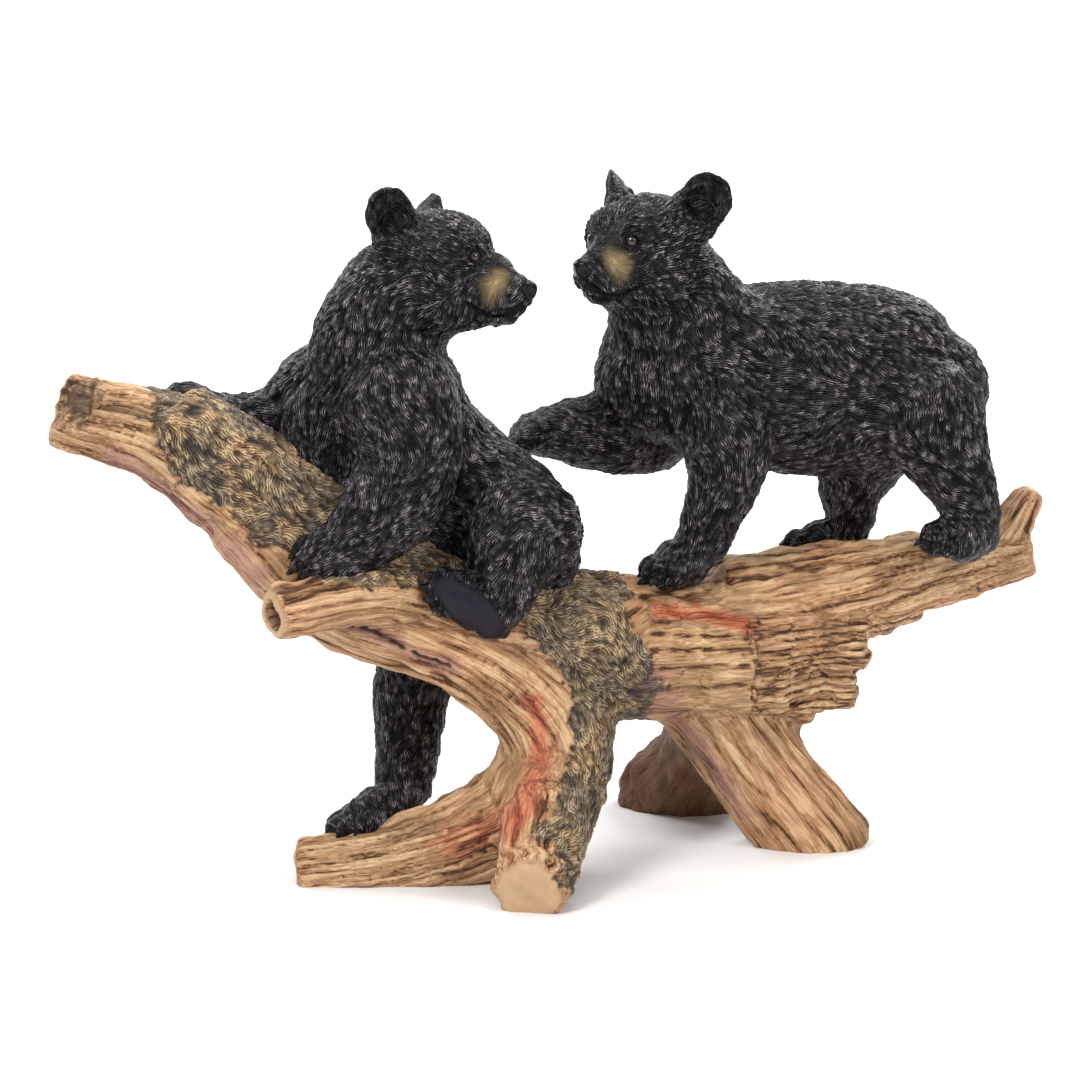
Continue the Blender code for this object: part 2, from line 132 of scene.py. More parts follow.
# Limbs are lists of (x, y, z, radius) stations on the drawing, with the share of their height
# that they are deep
LOG_LIMBS = {
    "beam": ([(-378, -20, 378, 29), (-352, -20, 370, 30), (-300, -20, 356, 35), (-250, -20, 323, 41),
        (-198, -20, 285, 43), (-135, -20, 241, 45), (-64, -15, 211, 47), (20, 5, 190, 50)], 1.08),
    "sweep": ([(-240, -30, 292, 28), (-188, -36, 242, 31), (-149, -40, 218, 30), (-110, -41, 204, 29),
        (-71, -39, 190, 31), (-34, -35, 169, 35), (0, -28, 137, 40), (14, -22, 100, 43), (-4, -26, 63, 43)],
        1.0),
    "trunk": ([(60, 20, 182, 50), (20, 2, 152, 44), (13, -8, 105, 44), (-8, -18, 58, 44),
        (-62, -24, 28, 39), (-129, -25, 10, 33), (-194, -25, 1, 30)], 1.0),
    "root": ([(14, -12, 118, 26), (12, -40, 84, 38), (4, -74, 48, 34), (-4, -104, 25, 31),
        (-9, -129, 18, 28)], 1.0),
    "branch": ([(-204, -108, 230, 22), (-179, -93, 233, 22), (-150, -84, 237, 22), (-118, -70, 238, 20),
        (-90, -52, 230, 17)], 1.0),
    "spar": ([(20, 10, 186, 50), (65, 30, 176, 57), (130, 55, 172, 60), (194, 68, 175, 58)], 1.0),
    "heartwood": ([(130, 60, 178, 52), (192, 70, 178, 53), (249, 78, 173, 50)], 0.95),
    "tip": ([(150, 62, 198, 48), (203, 70, 205, 45), (270, 80, 217, 40), (319, 85, 229, 33),
        (378, 88, 240, 25), (408, 88, 246, 20)], 1.1),
    "horn": ([(372, 88, 244, 20), (388, 88, 262, 19), (399, 88, 282, 16), (409, 88, 299, 11)], 1.0),
    "front_leg": ([(125, 52, 145, 44), (160, 60, 98, 42), (194, 68, 50, 43), (228, 75, 6, 45),
        (240, 77, -14, 46)], 0.75),
    "back_leg": ([(152, 85, 130, 38), (150, 125, 94, 38), (142, 165, 52, 42), (132, 190, 22, 48)], 0.8),
    "knee": ([(180, 84, 122, 26), (212, 88, 90, 17)], 1.0),
}
BARK_LIMBS = {
    "beam_bark": ([(-292, -20, 367, 36), (-252, -20, 334, 44), (-200, -18, 296, 47), (-135, -16, 252, 49),
        (-64, -10, 222, 49), (0, 5, 196, 50)], 1.05),
    "collar": ([(-8, 0, 196, 48), (40, 14, 186, 54), (86, 36, 177, 58), (104, 44, 174, 55)], 1.05),
    "trunk_bark": ([(44, 14, 166, 46), (22, 2, 130, 38), (20, -4, 92, 36), (5, -10, 52, 38)], 1.0),
    "burr": ([(28, 2, 224, 19), (62, 8, 228, 16)], 1.0),
}
# The grain of the root starts where it leaves the trunk
GRAIN_LIMBS = {**LOG_LIMBS, "root": (LOG_LIMBS["root"][0][2:], 1.0)}
# Splinters of the broken heartwood: where they end, across, up and along, and their radius
SPLINTERS = [
    (268, 40, 174, 15), (259, 50, 153, 14), (260, 60, 133, 14), (228, 66, 118, 13), (266, 84, 160, 15),
    (250, 100, 140, 14), (238, 92, 122, 13), (274, 70, 182, 13),
]
SPLINTER_LENGTH = 90
# The heel of the back leg, a dome that is cut off by the ground: middle and radii
BACK_HEEL = ((130, 200, 4), (62, 40, 60))

STANDING_LIMBS = {
    "body": ([(120, 68, 398, 61), (178, 74, 394, 77), (236, 80, 390, 81), (289, 80, 391, 72),
        (317, 78, 382, 51)], 0.80),
    "withers": ([(150, 70, 410, 52), (122, 55, 448, 46), (100, 42, 478, 44)], 0.9),
    "neck": ([(98, 58, 396, 55), (100, 50, 434, 47), (98, 40, 474, 42)], 0.9),
    "near_foreleg": ([(150, 40, 366, 46), (150, 29, 322, 33), (140, 28, 290, 26), (130, 28, 262, 23)], 1.0),
    "far_foreleg": ([(108, 84, 370, 44), (85, 92, 346, 37), (48, 77, 347, 33), (16, 54, 350, 25),
        (-4, 42, 350, 19)], 1.0),
    "near_hind": ([(313, 56, 366, 49), (326, 44, 338, 39), (340, 35, 310, 29), (349, 32, 286, 24),
        (352, 32, 270, 21)], 1.0),
    "far_hind": ([(282, 106, 352, 44), (262, 118, 300, 31), (261, 118, 268, 21), (259, 118, 256, 18)], 1.0),
}
# A skull is its middle, its yaw, pitch and roll in degrees, how far forward, out and up its ears are,
# and how far forward and out its brows are
STANDING_SKULL = ((86, 32, 501), (225, 0, 0), (-10, 53, 39), (22, 18))
# How far forward, out and up the eyes are
STANDING_EYES = (40, 19.6, 7)
CLIMBING_LIMBS = {
    "body": ([(-8, -3, 256, 41), (-22, 0, 284, 50), (-70, 0, 330, 47), (-121, 0, 380, 52),
        (-128, -2, 424, 54), (-112, -6, 462, 48)], 0.97),
    "chest": ([(-112, 2, 384, 52), (-155, 10, 372, 48), (-160, 6, 335, 46), (-120, 0, 300, 44),
        (-60, -5, 262, 42)], 1.0),
    "near_arm": ([(-108, -40, 384, 47), (-100, -60, 338, 39), (-120, -68, 304, 37), (-145, -72, 278, 27)],
        1.0),
    "far_arm": ([(-172, 28, 382, 44), (-213, 36, 361, 30), (-246, 28, 365, 20), (-266, 18, 374, 16)], 1.0),
    "near_hind": ([(-8, -38, 284, 43), (-20, -58, 286, 35), (-25, -66, 248, 27), (-36, -66, 220, 19)], 1.0),
    "far_hind": ([(-30, 35, 260, 50), (-70, 60, 208, 44), (-104, 58, 142, 34), (-108, 42, 98, 28),
        (-111, 20, 65, 25)], 1.0),
}
CLIMBING_SKULL = ((-78, -10, 490), (-20, 4, -5), (-27, 46, 35), (7, 15))
CLIMBING_EYES = (38, 22, 9)
# The mossy bark seen from the front, as an outline of (x, z) places on the drawing
BARK_OUTLINE = [
    (-312, 440), (-304, 376), (-298, 360), (-282, 336), (-268, 319), (-252, 309), (-226, 291), (-213, 277),
    (-197, 270), (-165, 256), (-120, 250), (-80, 240), (-45, 224), (-18, 207), (1, 191), (15, 176),
    (27, 155), (28, 136), (25, 111), (22, 96), (8, 77), (1, 58), (12, 34), (30, 10), (70, 70), (84, 125),
    (102, 155), (96, 166), (84, 182), (77, 202), (70, 224), (64, 246), (60, 300), (-150, 460),
]
# Stains and cracks are lines over the front of the log: (x, z) places and a half width
RED_STREAK = ([(-5, 152), (-1, 140), (0, 124), (-1, 106), (-6, 88), (-14, 72), (-27, 56)], 9)
RED_FAN = ([(-8, 78), (-24, 58), (-46, 45), (-72, 37)], 13)
RED_LENS = ([(94, 215), (128, 210), (168, 199)], 6)
MAUVE_CRACK = ([(-149, 217), (-127, 208), (-104, 195), (-70, 181)], 7)
MAUVE_EDGE = ([(-330, 345), (-300, 320), (-265, 293), (-218, 252)], 10)
MAUVE_LEG = ([(106, 126), (138, 84), (168, 36)], 8)
MAUVE_COLLAR = ([(84, 158), (98, 138)], 17)
GROOVE = ([(-342, 384), (-320, 380), (-300, 375)], 5)
SPAR_GROOVES = [
    [(82, 225), (125, 229), (180, 234), (232, 240)], [(88, 198), (166, 189)], [(88, 185), (168, 182)],
    [(92, 170), (168, 168)], [(96, 152), (168, 151)],
]
# The rotten hollow in the beam's end, as an (x, z) place, and where the bores are pressed in
BEAM_HOLLOW = (-359, 385)
BEAM_MOUTH = (-366, -40, 382)
STUB_MOUTH = (-204, -108, 230)
STUB_MIDDLE = (-197, -103, 230)
# The heartwood is split into boards to the right of this place and below this height
BROKEN_FROM = 120
BROKEN_EDGE = 172
BROKEN_BELOW = 199
BOARD_HEIGHT = 6.5
# The seed of the boards and their slope
LOWER_BOARDS = (71, 0.08)
UPPER_BOARDS = (75, 0.2)

# Limbs whose fur lies from their last station to their first, and the paws: a place, the way they
# point, the way up, their length, and their width and thickness as shares of it
STANDING_REVERSED = ("withers", "neck")
CLIMBING_REVERSED = ("body",)
STANDING_PAWS = [
    ((109, 22, 247), (-1, -0.45, -0.15), (0, 0, 1), 60, 0.82, 0.68),
    ((-12, 33, 348), (-0.85, -0.25, -0.45), (-0.45, 0, 0.9), 48, 0.85, 0.62),
    ((336, 20, 271), (-1, -0.5, 0.08), (0, 0, 1), 62, 0.8, 0.72),
    ((236, 112, 253), (-1, -0.25, 0.05), (0, 0, 1), 64, 0.7, 0.5),
]
CLIMBING_PAWS = [
    ((-163, -79, 269), (-0.75, -0.3, -0.6), (-0.2, -0.9, 0.4), 60, 0.95, 0.62),
    ((-284, 10, 385), (-1, -0.3, 0.1), (0.2, 0.2, 1), 44, 0.8, 0.5),
    ((-60, -72, 236), (-0.75, -0.12, 0.66), (0.15, 1, 0.3), 66, 0.62, 0.46),
    ((-134, -4, 49), (-1, -0.45, -0.28), (-0.2, 0, 1), 86, 0.6, 0.42),
]
TOES = 5
TOE_SPREAD = math.radians(68)
# The climbing cub's near hind foot shows its bare sole: a place on it, half its length and width, and
# the way it runs
SOLE = ((-54, -90, 230), 34, 15, (-0.74, 0, 0.67))
# The masses of a head: how far forward, left and up of its middle they are, and their radii
HEAD_MASSES = [(-2, 0, 0, 46, 47, 44), (11, 0, 8, 32, 37, 34), (36, 0, -16, 29, 25, 27),
               (6, 0, -26, 38, 40, 28), (29, 0, -26, 28, 25, 23)]
MUZZLE_MASSES = [(46, 0, -4, 17, 13, 17), (58, 0, -13.5, 19, 14, 15), (52, 0, -22, 23, 18, 19),
                 (66, 0, -17.5, 13, 14, 14), (49, 0, -34.5, 19, 13, 9)]
NOSE_PLACE = (75, 0, -13)
# The mouth seen from the side, as (forward, up) places, and the slit above it, as (left, up) places
MOUTH_LINE = [(74, -26), (67, -32), (58, -35), (48, -36), (41, -32), (36, -27)]
LIP_SLIT = [(0, -22), (0, -31)]
# For each cub: a place and direction that part it in two, its shapes, and the seed of its fur
CUBS = {
    "standing_cub": ((165, 70, 390), (1, 0, 0), STANDING_LIMBS, STANDING_SKULL, STANDING_EYES,
                     STANDING_PAWS, STANDING_REVERSED, 21),
    "climbing_cub": ((-100, 0, 372), (0.6, 0, -0.8), CLIMBING_LIMBS, CLIMBING_SKULL, CLIMBING_EYES,
                     CLIMBING_PAWS, CLIMBING_REVERSED, 41),
}

# Colours
BROWN_FUR = (0.05, 0.035, 0.022)
SOLE_SKIN = (0.016, 0.013, 0.021)
NOSE_SKIN = (0.005, 0.005, 0.006)
LIP_BLACK = (0.003, 0.0025, 0.0025)
BROWN_WASH = (0.20, 0.105, 0.045)
SAWN_WOOD = (0.58, 0.40, 0.25)
SHADED_WOOD = (0.10, 0.045, 0.022)
WINE_BARK = (0.055, 0.036, 0.038)
HOLLOW_DARK = (0.020, 0.007, 0.003)

# The camera, and the stage in metres
LENS = 92
CAMERA_DISTANCE = 2.2
CAMERA_PITCH = math.radians(9.5)
AIM_HEIGHT = 0.27
STAGE_HALF = 6.0
FLOOR_FRONT = -4.0
FLOOR_BACK = 1.6
SWEEP_START = 8.0
SWEEP_RADIUS = 0.8
SWEEP_HEIGHT = 6.0
# Lamps: where they are, how wide and how strong
LAMPS = [("key", (-1.3, -1.9, 2.2), 0.9, 56), ("fill", (1.8, -1.6, 1.5), 1.2, 30),
         ("top", (0.1, 0.3, 2.6), 1.6, 38), ("rim", (1.2, 1.5, 1.8), 0.8, 22),
         ("rim_left", (-1.5, 1.2, 1.6), 0.8, 16)]
LAMP_AIM = Vector((0, 0, 0.28))
SKY_STRENGTH = 0.4


def drawn(x, y, z):
    """A point of the drawing, in metres."""
    return Vector((x, y, z)) * UNIT


def new_object(name, data):
    item = bpy.data.objects.new(name, data)
    bpy.context.scene.collection.objects.link(item)
    return item


def built(name, shape):
    """An object whose mesh is the finished bmesh."""
    mesh = bpy.data.meshes.new(name)
    shape.to_mesh(mesh)
    shape.free()
    return new_object(name, mesh)


def smooth_line(stations, steps=6):
    """Catmull-Rom points through stations of (x, y, z, radius)."""
    rows = [Vector(s) for s in stations]
    padded = [rows[0] * 2 - rows[1]] + rows + [rows[-1] * 2 - rows[-2]]
    line = []
    for a, b, c, d in zip(padded, padded[1:], padded[2:], padded[3:]):
        for i in range(steps):
            t = i / steps
            line.append(0.5 * (2 * b + (c - a) * t + (2 * a - 5 * b + 4 * c - d) * t * t
                               + (3 * b - a - 3 * c + d) * t ** 3))
    return line + [rows[-1]]


def ball(centre, radii, frame_of_ball=None):
    """An ellipsoid; the frame's columns are the directions of its three radii."""
    sphere = bmesh.new()
    bmesh.ops.create_uvsphere(sphere, u_segments=24, v_segments=14, radius=1.0)
    turn = frame_of_ball.to_4x4() if frame_of_ball else Matrix.Identity(4)
    place = Matrix.Translation(centre) @ turn @ Matrix.Diagonal((*radii, 1.0))
    bmesh.ops.transform(sphere, matrix=place, verts=sphere.verts)
    return built("ball", sphere)


def limb(stations, depth=1.0, blunt=False):
    """A tube through stations of (x, y, z, radius), with round ends unless it is blunt."""
    line = smooth_line(stations)
    middle = sum(p[1] for p in line) / len(line)
    curve = bpy.data.curves.new("limb", "CURVE")
    curve.dimensions = "3D"
    curve.bevel_depth = UNIT
    curve.bevel_resolution = 6
    curve.use_fill_caps = True
    spline = curve.splines.new("POLY")
    spline.points.add(len(line) - 1)
    for point, (x, y, z, radius) in zip(spline.points, line):
        point.co = (x * UNIT, (middle + (y - middle) / depth) * UNIT, z * UNIT, 1.0)
        point.radius = radius
    guide = new_object("limb", curve)
    tube = bmesh.new()
    tube.from_mesh(baked_mesh(guide))
    bpy.data.objects.remove(guide)
    bmesh.ops.remove_doubles(tube, verts=tube.verts, dist=1e-6)
    for vertex in tube.verts:
        vertex.co.y = middle * UNIT + (vertex.co.y - middle * UNIT) * depth
    made = [built("limb", tube)]
    if not blunt:
        for x, y, z, radius in (line[0], line[-1]):
            r = radius * UNIT
            made.append(ball(drawn(x, y, z), (r, r * depth, r)))
    return made


def joined(name, items):
    """One object that holds all the items' faces."""
    whole = bmesh.new()
    for item in items:
        whole.from_mesh(item.data)
        bpy.data.objects.remove(item)
    return built(name, whole)


def baked_mesh(item, with_values=False):
    graph = bpy.context.evaluated_depsgraph_get()
    return bpy.data.meshes.new_from_object(item.evaluated_get(graph), preserve_all_data_layers=with_values,
                                           depsgraph=graph)


def baked(item, with_values=False):
    """The object with its modifiers turned into its mesh, if asked with the values kept on it."""
    mesh = baked_mesh(item, with_values)
    item.modifiers.clear()
    item.data = mesh
    return item


def moulded(name, items, voxel, passes):
    """The items run together into one skin, with their joins softened."""
    item = joined(name, items)
    skin = item.modifiers.new("skin", "REMESH")
    skin.mode = "VOXEL"
    skin.voxel_size = voxel
    if passes:
        soften = item.modifiers.new("soften", "SMOOTH")
        soften.factor = 0.5
        soften.iterations = passes
    return baked(item)


def thinned(item, triangles):
    """The object with fewer triangles, which are kept where its relief needs them."""
    total = sum(len(face.vertices) - 2 for face in item.data.polygons)
    fewer = item.modifiers.new("fewer", "DECIMATE")
    fewer.ratio = min(1, triangles / total)
    return baked(item, with_values=True)


def read_vertices(item, what):
    values = np.empty(len(item.data.vertices) * 3)
    item.data.vertices.foreach_get(what, values)
    return values.reshape(-1, 3)


def points_of(item):
    return read_vertices(item, "co")


def surface_of(item):
    return points_of(item), read_vertices(item, "normal")


def set_points(item, points):
    item.data.vertices.foreach_set("co", points.ravel())
    item.data.update()


def lengths(vectors):
    return np.linalg.norm(vectors, axis=1)


def unit(vectors):
    return vectors / (lengths(vectors)[:, None] + 1e-12)


def ripple(points, size, seed):
    """A smooth uneven value between about -1 and 1 for each point, with swells about as long as size."""
    draw = np.random.default_rng(seed)
    value = np.zeros(len(points))
    for _ in range(9):
        way = draw.normal(size=3)
        way = way / np.linalg.norm(way) * draw.uniform(0.6, 1.5) * 2 * math.pi / size
        value += np.sin(points @ way + draw.uniform(0, 2 * math.pi))
    return value / 3


def ease(low, high, value):
    """0 up to low and 1 from high on, with a smooth rise between them."""
    share = np.clip((value - low) / (high - low), 0, 1)
    return share * share * (3 - 2 * share)


def hollow(item, mouth, axis, radius, depth):
    """Presses a round bowl into the surface at mouth, along axis, as deep as depth at its middle."""
    points = points_of(item)
    axis = np.array(Vector(axis).normalized())
    away = points - np.array(mouth)
    along = away @ axis
    across = lengths(away - along[:, None] * axis)
    bowl = np.clip(1 - (across / radius) ** 2, 0, 1) ** 0.6
    near = np.clip(1.5 - np.abs(along) / radius, 0, 1)
    set_points(item, points + axis * (depth * bowl * near)[:, None])


def nearest_on(points, centres):
    """The index of the nearest centre to each point, and the distance to it."""
    squared = ((points ** 2).sum(axis=1)[:, None] - 2 * points @ centres.T
               + (centres ** 2).sum(axis=1)[None, :])
    nearest = squared.argmin(axis=1)
    return nearest, np.linalg.norm(points - centres[nearest], axis=1)


def along_limbs(points, limbs):
    """For each limb: each point's share of the radius away, distance along, angle round and direction."""
    for stations, depth in limbs.values():
        line = np.array(smooth_line(stations)) * UNIT
        centres = line[:, :3]
        tangents = unit(np.gradient(centres, axis=0))
        travelled = np.concatenate([[0], np.cumsum(np.linalg.norm(np.diff(centres, axis=0), axis=1))])
        nearest, distance = nearest_on(points, centres)
        away = points - centres[nearest]
        tangent = tangents[nearest]
        slip = (away * tangent).sum(axis=1)
        away = away - slip[:, None] * tangent
        side = unit(np.array([0.0, 1.0, 0.0]) - tangent * tangent[:, 1:2])
        top = np.cross(tangent, side)
        angle = np.arctan2((away * top).sum(axis=1), (away * side).sum(axis=1) / depth)
        yield distance / line[nearest, 3], travelled[nearest] + slip, angle, tangent, line[:, 3].mean()


def grain_height(points, normals, limbs):
    """The broad rounded ridges of weathered wood along the limbs, from 0 in a groove to 1 on a crest."""
    total = np.zeros(len(points))
    weights = np.zeros(len(points))
    for share, travelled, angle, tangent, radius in along_limbs(points, limbs):
        ridges = max(4, round(2 * math.pi * radius / GRAIN_PITCH))
        wander = 0.55 * np.sin(travelled / (3.1 * GRAIN_PITCH)) + 0.2 * np.sin(travelled / GRAIN_PITCH)
        turn = angle / (2 * math.pi) * ridges + wander
        crest = np.abs(np.sin(math.pi * turn)) ** 0.7
        side_on = np.clip(2 - 2.5 * np.abs((normals * tangent).sum(axis=1)), 0, 1)
        swell = 0.6 + 0.4 * np.sin(travelled / (1.7 * GRAIN_PITCH) + 2.4 * (np.floor(turn) % ridges))
        weight = np.exp(-9 * share)
        total += weight * side_on * (swell * crest - 0.35)
        weights += weight
    return total / (weights + 1e-9)


def fibres(points, normals, limbs):
    """Long fine fibres and cracks along the limbs, the end faces, and each point's place along its limb."""
    total = np.zeros((3, len(points)))
    weights = np.zeros(len(points))
    place = np.zeros((len(points), 3))
    first = np.zeros(len(points))
    second = np.zeros(len(points))
    for k, (share, travelled, angle, tangent, radius) in enumerate(along_limbs(points, limbs)):
        reach = share * radius
        along = travelled / FIBRE_STRETCH + k * 0.7
        local = np.stack([reach * np.cos(angle), reach * np.sin(angle), along], axis=1)
        broad = ripple(local, FIBRE_PITCH * 1.6, 11 + k)
        fine = ripple(local, FIBRE_PITCH * 0.8, 31 + k)
        split = ripple(local * np.array([1, 1, 0.5]), FIBRE_PITCH * 3.2, 51 + k)
        swelling = ripple(local, FIBRE_PITCH * 2.5, 71 + k)
        facing = np.abs((normals * tangent).sum(axis=1))
        side_on = np.clip(2 - 2.5 * facing, 0, 1)
        weight = np.exp(-13 * share)
        body = 0.6 * np.clip(np.abs(broad) / 0.8, 0, 1) + 0.4 * np.clip(np.abs(fine) / 0.7, 0, 1)
        crack = np.exp(-(split / 0.13) ** 2) * ease(0.1, 0.7, swelling)
        face = 0.66 + 0.03 * broad + 0.06 * np.sin(reach / 0.0011 + 4 * broad)
        total += weight * np.stack([side_on * body + (1 - side_on) * face, side_on * crack,
                                    ease(0.72, 0.9, facing)])
        weights += weight
        ahead = weight > first
        second = np.where(ahead, first, np.maximum(second, weight))
        first = np.where(ahead, weight, first)
        place[ahead] = local[ahead]
    body, crack, end = total / (weights + 1e-9)
    return np.clip(body, 0, 1), crack, end, place, 1 - second / (first + 1e-12)


def planks(points, seed, slope):
    """Steps between split boards that rise at a slope, from -1 to 1, and the seams between them."""
    x, _, z = points.T / UNIT
    draw = np.random.default_rng(seed)
    level = (z - slope * x + 1.6 * ripple(points, 0.06, seed)) / BOARD_HEIGHT
    rows = np.floor(level).astype(int)
    start = draw.uniform(0, 40, 64)[rows % 64]
    lengths = np.floor((x + start + 1.5 * ripple(points, 0.012, seed + 1)) / 40).astype(int)
    seams = np.exp(-((np.abs(level - rows - 0.5) - 0.5) / 0.13) ** 2)
    return draw.uniform(-1, 1, (64, 32))[rows % 64, lengths % 32], seams


def lay_of(points, normals, limbs, back=()):
    """The way the grain or fur lies at each point, flat on the surface."""
    lay = np.zeros((len(points), 3))
    for (share, _, _, tangent, _), name in zip(along_limbs(points, limbs), limbs):
        way = -1 if name in back else 1
        lay += np.exp(-6 * share)[:, None] * tangent * way
    return flattened(lay, normals)


def flattened(lay, normals):
    return unit(lay - normals * (lay * normals).sum(axis=1)[:, None])


def turned(lay, normals, angle):
    """The lay turned by an angle within the surface."""
    return lay * np.cos(angle)[:, None] + np.cross(normals, lay) * np.sin(angle)[:, None]


def tree_of(points):
    """A tree that finds the points near a place."""
    tree = KDTree(len(points))
    for i, point in enumerate(points):
        tree.insert(point, i)
    tree.balance()
    return tree


def locks(points, normals, lay, chosen, length, width, scale, seed):
    """Carved locks that lie over each other: each rises from its root to a blunt tip.

    chosen are the points they start from. Returns heights from 0 to about 1.
    """
    draw = np.random.default_rng(seed)
    tree = tree_of(points)
    height = np.zeros(len(points))
    across = np.cross(normals, lay)
    stretch = draw.uniform(0.75, 1.25, len(chosen))
    lift = draw.uniform(0.6, 1.0, len(chosen))
    for k, i in enumerate(chosen):
        long = length * stretch[k] * scale[i]
        wide = width * scale[i] / 2
        found = tree.find_range(points[i], long * 0.55)
        near = np.fromiter((f[1] for f in found), dtype=int, count=len(found))
        away = points[near] - points[i]
        u = away @ lay[i] / long + 0.5
        v = (away @ across[i]) / (wide * (0.55 + 0.75 * np.clip(u, 0, 1)))
        rise = np.clip(u / 0.75, 0, 1) * np.clip((1.0 - u) / 0.16, 0, 1)
        made = lift[k] * rise * np.clip(1 - v * v, 0, 1)
        made[(u < 0) | (u > 1)] = 0
        height[near] = np.maximum(height[near], made)
    return height


def keep(item, **values):
    """Keeps a share from 0 to 1 at each vertex for the paint to read."""
    for name, share in values.items():
        layer = item.data.attributes.new(name, "FLOAT", "POINT")
        layer.data.foreach_set("value", np.clip(share, 0, 1).astype(np.float32))


def keep_directions(item, **values):
    """Keeps a direction or place at each vertex for the paint to read."""
    for name, vectors in values.items():
        layer = item.data.attributes.new(name, "FLOAT_VECTOR", "POINT")
        layer.data.foreach_set("vector", vectors.astype(np.float32).ravel())


def seg_distance(flat, line):
    """How far each place of a plane is from a line of places."""
    best = np.full(len(flat), 1e3)
    for a, b in zip(line, line[1:]):
        a = np.array(a, dtype=float)
        b = np.array(b, dtype=float)
        t = np.clip((flat - a) @ (b - a) / ((b - a) @ (b - a)), 0, 1)
        best = np.minimum(best, np.linalg.norm(flat - (a + t[:, None] * (b - a)), axis=1))
    return best


def line_distance(points, line):
    """How far each point's (x, z) is from a line of (x, z) places on the drawing, in its units."""
    return seg_distance(points[:, (0, 2)], np.array(line) * UNIT) / UNIT


def inside_outline(flat, outline):
    """How far each (x, z) place is inside an outline: less than 0 is outside."""
    within = np.zeros(len(flat), dtype=bool)
    u, v = flat.T
    for (ax, az), (bx, bz) in zip(outline, outline[1:] + outline[:1]):
        if az != bz:
            crossing = ((az > v) != (bz > v)) & (u < (bx - ax) * (v - az) / (bz - az) + ax)
            within ^= crossing
    return np.where(within, 1, -1) * seg_distance(flat, outline + outline[:1])


def cut_off(shape, place, direction):
    """Cuts off what lies beyond a plane, and closes the cut flat."""
    whole = shape.verts[:] + shape.edges[:] + shape.faces[:]
    made = bmesh.ops.bisect_plane(shape, geom=whole, dist=1e-6, plane_co=place, plane_no=direction,
                                  clear_outer=True)
    rim = [g for g in made["geom_cut"] if isinstance(g, bmesh.types.BMEdge)]
    bmesh.ops.holes_fill(shape, edges=rim, sides=0)
    for edge in rim:
        edge.smooth = False
    bmesh.ops.triangulate(shape, faces=[f for f in shape.faces if len(f.verts) > 4])


def sawn_at_ground(item):
    """The object cut off flat at Z = 0, with the cut closed."""
    cut = bmesh.new()
    cut.from_mesh(item.data)
    cut_off(cut, (0, 0, 0), (0, 0, -1))
    cut.to_mesh(item.data)
    cut.free()
    return item


def halved(item, place, direction, names):
    """The object parted at a plane into two closed pieces; the first lies against the direction."""
    pieces = []
    for name, way in zip(names, (1, -1)):
        half = bmesh.new()
        half.from_mesh(item.data)
        cut_off(half, place, Vector(direction) * way)
        pieces.append(built(name, half))
    bpy.data.objects.remove(item)
    return pieces


def head_frame(yaw, pitch, roll):
    """Columns forward, left and up of a head; it looks along +X at yaw 0, and down by its pitch."""
    turn = Matrix.Rotation(math.radians(yaw), 3, "Z") @ Matrix.Rotation(math.radians(pitch), 3, "Y")
    return turn @ Matrix.Rotation(math.radians(roll), 3, "X")


def ear_frame(frame, side):
    """Columns out of the bowl, across and up of an ear."""
    facing = (frame @ Vector((1, side * 0.9, 0.1))).normalized()
    across = (frame @ Vector((0, 0, 1))).cross(facing).normalized()
    return Matrix((facing, across, facing.cross(across))).transposed()


def head_places(skull):
    """A head's frame, and a function for the place that is so far forward, left and up of its middle."""
    turn = head_frame(*skull[1])

    def at(forward, left, up):
        return drawn(*skull[0]) + turn @ drawn(forward, left, up)

    return turn, at


def ear(skull, side):
    """An ear's frame, the middle of its bowl and its base."""
    turn, at = head_places(skull)
    forward, out, up = skull[2]
    bowl = at(forward, side * out, up)
    base = at(forward + 3, side * out * 0.74, up * 0.62)
    return ear_frame(turn, side), bowl, base


def head(skull):
    """The masses of a head, and the details that are added once they have run together."""
    frame, at = head_places(skull)
    brow_forward, brow_out = skull[3]

    def lump(forward, left, up, *radii):
        return ball(at(forward, left, up), [r * UNIT for r in radii], frame)

    masses = [lump(*row) for row in HEAD_MASSES]
    details = [lump(*row) for row in MUZZLE_MASSES]
    details.append(ball(at(*NOSE_PLACE), (7.5 * UNIT, NOSE_WIDTH / 2, 8 * UNIT), frame))
    for side in (-1, 1):
        masses.append(lump(4, side * 22, -24, 32, 26, 30))
        masses.append(lump(brow_forward, side * brow_out, 10, 26, 23, 25))
        details.append(lump(62, side * 7, -24, 12, 9, 9))
        turn, bowl, base = ear(skull, side)
        details.append(ball(bowl, (EAR_THICKNESS / 2, EAR_RADIUS, EAR_RADIUS), turn))
        details.append(ball(bowl.lerp(base, 0.55), (EAR_THICKNESS * 0.7, EAR_RADIUS, EAR_RADIUS), turn))
        details.append(ball(base, (EAR_RADIUS * 0.65, EAR_RADIUS * 1.05, EAR_RADIUS * 1.1), turn))
    return masses, details


